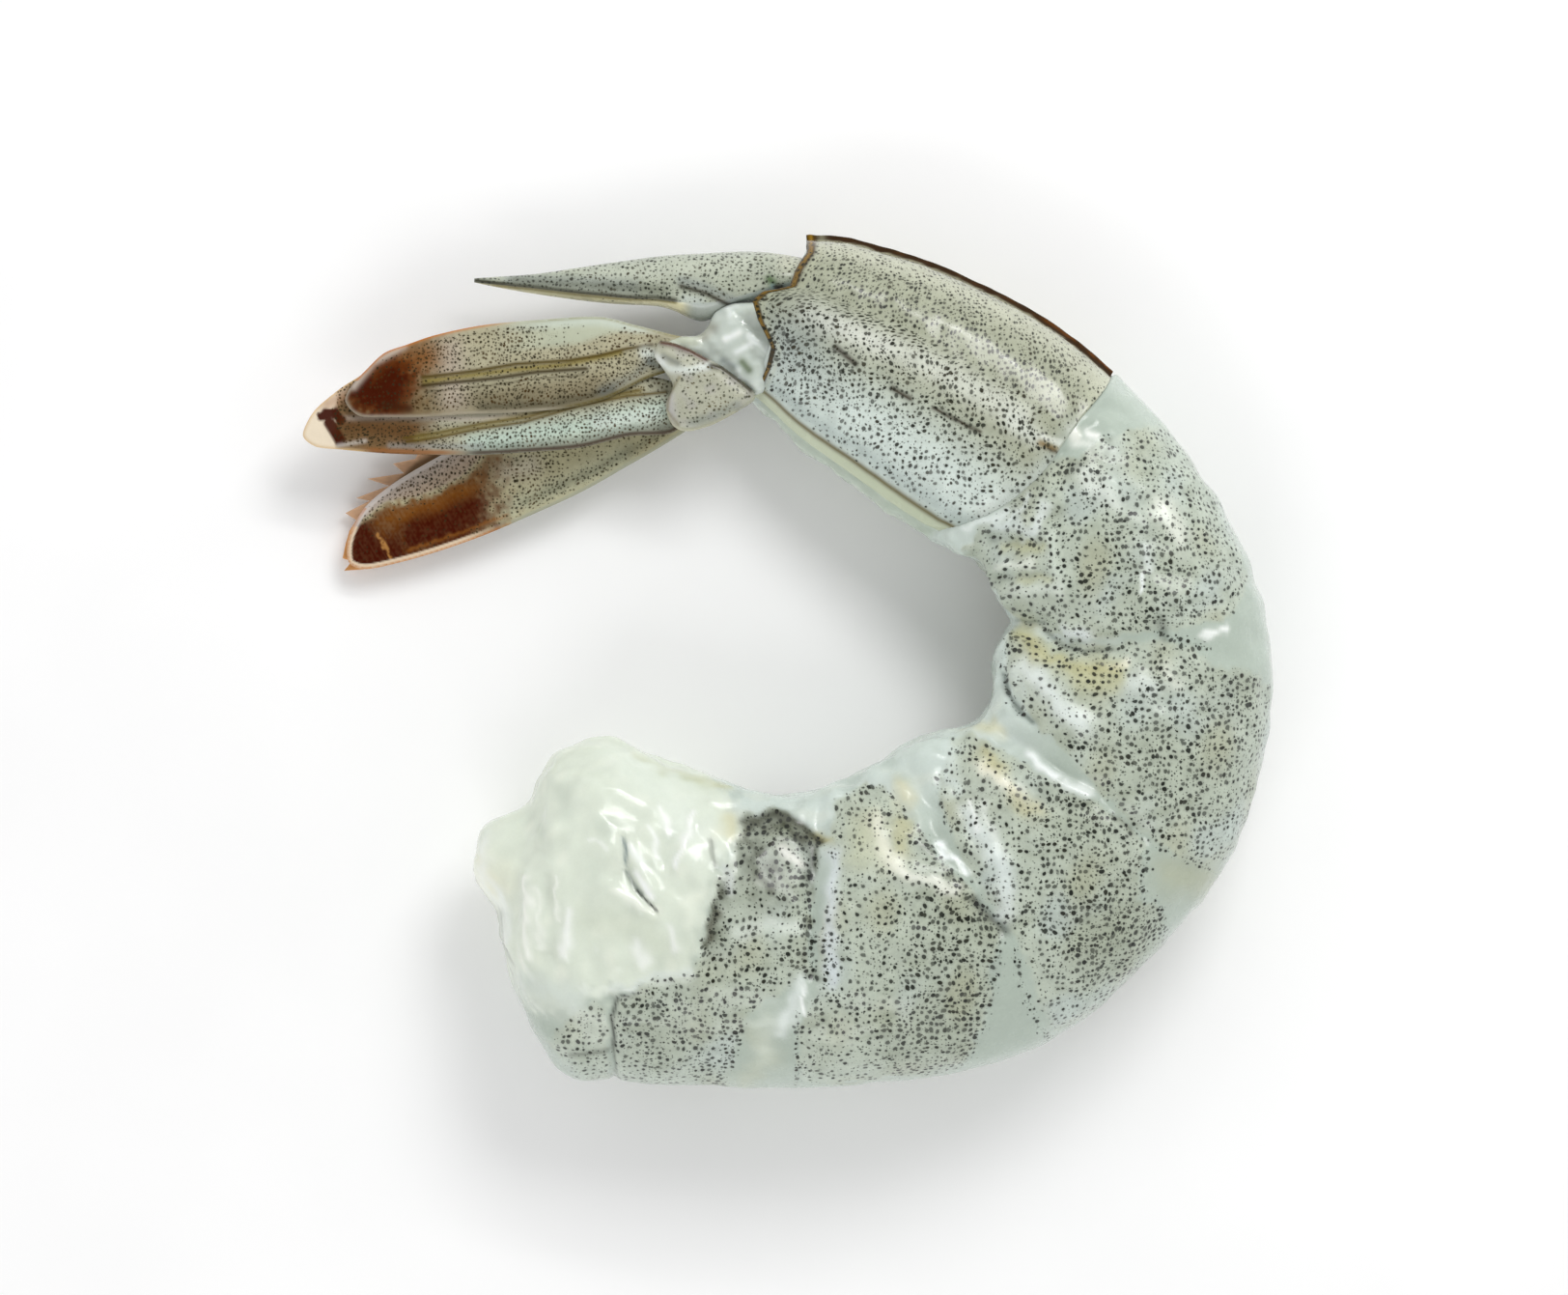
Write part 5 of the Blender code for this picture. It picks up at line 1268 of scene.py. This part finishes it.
def base_paint(flat, from_rim):
    """Limb base: speckled plate with dark upper edges and a clear joint at its outer end, whose white fold
    and knuckle carry painted highlights beside a stroke of painted shade.
    """
    tone = ground(flat, (176, 177, 158))
    paint(tone, (168, 166, 160), 0.5 * clouds(flat, 1.4, 84, 0.0, 1.0))
    brush(tone, flat, [
        # The near-white strokes are the joint's white fold and shiny knuckle, partly painted highlights; the
        # grey stroke beside the fold is painted shade.
        ([(-9.4, 21.4), (-8.4, 20.8), (-7.0, 20.7), (-5.6, 21.0)], 0.3, (216, 223, 216), 0.85),
        ([(-8.9, 21.7), (-7.8, 21.2)], 0.25, (110, 116, 112), 0.6),
        ([(-9.6, 21.8), (-9.0, 21.2)], 0.3, (232, 237, 232), 0.8),
        ([(-8.4, 18.9), (-8.2, 17.2)], 0.35, (178, 176, 176), 0.7),
        ([(-3.6, 18.2), (-5.2, 17.4), (-6.8, 16.9)], 0.35, (120, 128, 122), 0.55),
    ])
    upper = [(-9.0, 22.7), (-8.0, 22.5), (-7.0, 22.1), (-5.8, 21.5)]
    lower = [(-5.4, 21.0), (-4.7, 20.9), (-3.6, 20.1), (-2.6, 19.3)]
    brush(tone, flat, [
        (upper, 0.22, (70, 22, 2), 0.97),
        (lower, 0.24, (40, 30, 3), 0.97),
        ([(-7.7, 20.2), (-8.4, 19.0), (-8.6, 17.8), (-7.8, 16.8)], 0.13, (120, 110, 76), 0.6),
    ])
    paint(tone, (196, 192, 160), 0.6 * bell(from_rim, 0.14) * (flat[:, 1] < 17.8))
    lift = 0.12 * stroke(flat, upper, 0.25) + 0.12 * stroke(flat, lower, 0.25)
    lift += 0.12 * stroke(flat, [(-7.7, 20.2), (-8.4, 19.0), (-8.6, 17.8)], 0.2)
    dots = 1.1 * smooth(from_rim, 0.15, 0.5) * (1 - stroke(flat, [(-8.4, 22.0), (-8.2, 17.0)], 0.6))
    return tone, dots, np.full(len(flat), 0.5), lift


TISSUE = [
    (-9.0, 22.7), (-7.6, 23.2), (-6.4, 23.3), (-5.7, 23.9), (-5.2, 24.9), (-4.2, 25.5), (-3.0, 25.6),
    (-1.8, 25.5), (-0.4, 24.8), (-0.2, 22.3), (-0.6, 20.6), (-1.6, 19.2), (-2.6, 19.0), (-3.4, 19.6),
    (-4.6, 20.4), (-5.8, 20.9), (-7.4, 21.6), (-8.6, 22.2),
]
FAR_TISSUE = [
    (-1.0, 22.2), (-2.6, 22.2), (-4.6, 21.3), (-5.5, 20.2), (-5.3, 18.8), (-4.2, 18.2), (-2.9, 19.2),
    (-1.9, 19.9), (-1.0, 21.0),
]


def tissue_paint(flat, from_rim):
    """White wet joint tissue in soft lumps, with painted highlights on the crests and glints and painted
    shade in the hollows.
    """
    tone = ground(flat, (198, 207, 198))
    lumps = ripple(flat, 1.9, 91) + 0.4 * ripple(flat, 0.9, 92)
    # The lumps' crests are painted whiter as highlight and their hollows greyer as shade.
    paint(tone, (228, 235, 230), 0.8 * smooth(lumps, 0.2, 1.2))
    paint(tone, (176, 184, 174), 0.5 * smooth(lumps, -0.3, -1.3))
    brush(tone, flat, [
        ([(-8.4, 22.9), (-6.6, 22.9)], 0.5, (190, 196, 172), 0.7),
        ([(-6.0, 23.2), (-5.4, 23.8)], 0.45, (150, 146, 128), 0.55),
        ([(-3.2, 21.3), (-2.7, 20.7)], 0.3, (92, 108, 70), 0.8),
        ([(-4.6, 21.4), (-3.8, 21.0)], 0.3, (130, 140, 140), 0.5),
        # The last two strokes are painted glints on a small raised fold.
        ([(-4.4, 22.9), (-3.4, 23.4)], 0.25, (246, 249, 247), 0.7),
        ([(-3.6, 22.0), (-2.6, 22.6)], 0.22, (244, 248, 246), 0.6),
    ])
    lift = 0.14 * lumps + 0.12 * stroke(flat, [(-4.4, 22.9), (-3.4, 23.4)], 0.35)
    return tone, np.zeros(len(flat)), np.ones(len(flat)), lift


def fan():
    """Tail fan: joint tissue, two limb bases and four blades."""
    fine = LEAF_SPACING
    blade = wet_skin("wet_blade", (46, 40, 24), cell=0.31, small=0.055, large=0.085, roughness=0.34,
                     depth=0.3, weight=0.0, coat=0.1, gloss=0.1)
    plate = wet_skin("wet_plate", (56, 58, 42), cell=0.38, small=0.04, large=0.09, roughness=0.34, depth=0.5,
                     weight=0.1, coat=0.2)
    soft = wet_skin("joint_tissue", (80, 90, 70), roughness=0.28, depth=1.2, weight=0.5, coat=0.5)
    leaf("joint_tissue", curve(TISSUE, fine), ((-1.0, 22.5), (-6.0, 23.0)), (6.9, 6.5, 5.7),
         0.8, 2.5, 2.4, fine, "body", soft, tissue_paint)
    leaf("joint_tissue_far", curve(FAR_TISSUE, fine), ((-1.0, 21.8), (-5.3, 19.2)), (3.5, 2.8, 1.6),
         0.7, 2.0, 1.6, fine, "body", soft, tissue_paint)
    near_base = curve(BASE, fine)
    far_base = (near_base - near_base.mean(axis=0)) * 0.9 + near_base.mean(axis=0)
    reach = ((-2.4, 18.8), (-8.7, 20.5))
    leaf("limb_base_near", near_base, reach, (7.3, 7.4, 7.2), 0.4, 1.8, 2.0, fine,
         "uropod_near_base", plate, base_paint)
    leaf("limb_base_far", far_base, reach, (1.3, 1.2, 1.15), 0.7, 2.0, 2.6, fine,
         "uropod_far_base", plate, base_paint)
    leaf("blade_near_inner", curve(NEAR_INNER, fine), ((-5.9, 22.5), (-31.8, 18.5)), (5.8, 6.6, 6.1),
         0.14, 0.75, 2.4, fine, "uropod_near_inner", blade, near_inner_paint)
    leaf("blade_near_outer", curve(NEAR_OUTER, fine), ((-7.9, 18.1), (-34.9, 16.0)), (5.8, 5.9, 5.3),
         0.14, 0.75, 2.4, fine, "uropod_near_outer", blade, near_outer_paint)
    leaf("blade_far_inner", curve(FAR_INNER, fine), ((-5.6, 18.4), (-31.9, 7.5)), (3.95, 2.9, 1.8),
         0.16, 0.8, 2.2, fine, "uropod_far_inner", blade, far_inner_paint)
    whole = curve(FAR_OUTER_SMOOTH, fine)
    keep = whole[inside(whole, [(-28.7, 5), (0, 5), (0, 22), (-27.0, 22), (-27.1, 14.0)])]
    leaf("blade_far_outer", np.vstack([keep, TUFTS]), ((-5.9, 18.5), (-32.0, 8.0)), (3.0, 1.95, 0.75),
         0.3, 0.75, 2.4, fine, "uropod_far_outer", blade, far_outer_paint)


# Light and camera
FLOOR_SIZE = 1200.0
FLOOR_GAP = 0.05
WORLD_LOW = 0.93
WORLD_TOP = 0.26
# Millimetres across the picture: its width in pixels by the pixels a millimetre takes.
VIEW_WIDTH = 1624 / 14.43
VIEW_CENTRE = (-0.2, 0.8)
FOCUS_HEIGHT = 7.8
LENS = 135.0
SENSOR = 36.0


def floor():
    mesh = bpy.data.meshes.new("floor")
    r = FLOOR_SIZE * MM / 2
    z = -FLOOR_GAP * MM
    mesh.from_pydata([(-r, -r, z), (r, -r, z), (r, r, z), (-r, r, z)], [], [(0, 1, 2, 3)])
    shader = Shader("pale_table")
    place = shader.node("ShaderNodeTexCoord").outputs["Object"]
    place = shader.scaled(place, 1 / MM)
    shade = shader.range(shader.noise(place, 30.0, 3.0).outputs["Fac"], 0.3, 0.7, 0.96, 0.99)
    shader.feed(shader.skin.inputs["Base Color"], shader.mix(shade, (0, 0, 0, 1), (1, 1, 1, 1)))
    shader.skin.inputs["Roughness"].default_value = 0.7
    mesh.materials.append(shader.material)
    table = bpy.data.objects.new("floor", mesh)
    bpy.context.scene.collection.objects.link(table)


def softbox(name, place, size, power):
    """Rectangular light aimed at the middle of the shrimp, sizes in mm."""
    light = bpy.data.lights.new(name, "AREA")
    light.shape = "RECTANGLE"
    light.size, light.size_y = size[0] * MM, size[1] * MM
    light.energy = power
    lamp = bpy.data.objects.new(name, light)
    lamp.location = Vector(place) * MM
    lamp.rotation_euler = (Vector((0, 0, 6)) - Vector(place)).to_track_quat("-Z", "Y").to_euler()
    bpy.context.scene.collection.objects.link(lamp)


def light_and_camera():
    scene = bpy.context.scene
    scene.view_settings.view_transform = "Standard"
    world = bpy.data.worlds.new("studio")
    world.use_nodes = True
    # Bright all round, darker straight overhead, so that level wet surfaces keep their own colour.
    tree = world.node_tree
    split = tree.nodes.new("ShaderNodeSeparateXYZ")
    tree.links.new(tree.nodes.new("ShaderNodeTexCoord").outputs["Generated"], split.inputs[0])
    fall = tree.nodes.new("ShaderNodeMapRange")
    fall.interpolation_type = "SMOOTHSTEP"
    for key, value in (("From Min", 0.55), ("From Max", 0.93), ("To Min", WORLD_LOW), ("To Max", WORLD_TOP)):
        fall.inputs[key].default_value = value
    tree.links.new(split.outputs["Z"], fall.inputs["Value"])
    tree.links.new(fall.outputs["Result"], tree.nodes["Background"].inputs["Strength"])
    tree.nodes["Background"].inputs["Color"].default_value = (1.0, 1.0, 1.0, 1)
    scene.world = world
    softbox("key", (110, 190, 230), (150, 110), 0.37)
    softbox("strip", (60, 210, 190), (150, 18), 0.10)
    softbox("fill", (-60, -240, 200), (200, 120), 0.20)
    camera = bpy.data.cameras.new("camera")
    camera.lens = LENS
    camera.sensor_width = SENSOR
    distance = VIEW_WIDTH * LENS / SENSOR
    camera.clip_start, camera.clip_end = 0.01, 10
    eye = bpy.data.objects.new("camera", camera)
    eye.location = Vector((VIEW_CENTRE[0], VIEW_CENTRE[1], FOCUS_HEIGHT + distance)) * MM
    bpy.context.scene.collection.objects.link(eye)
    scene.camera = eye


meat()
shell()
spike()
fan()
floor()
light_and_camera()
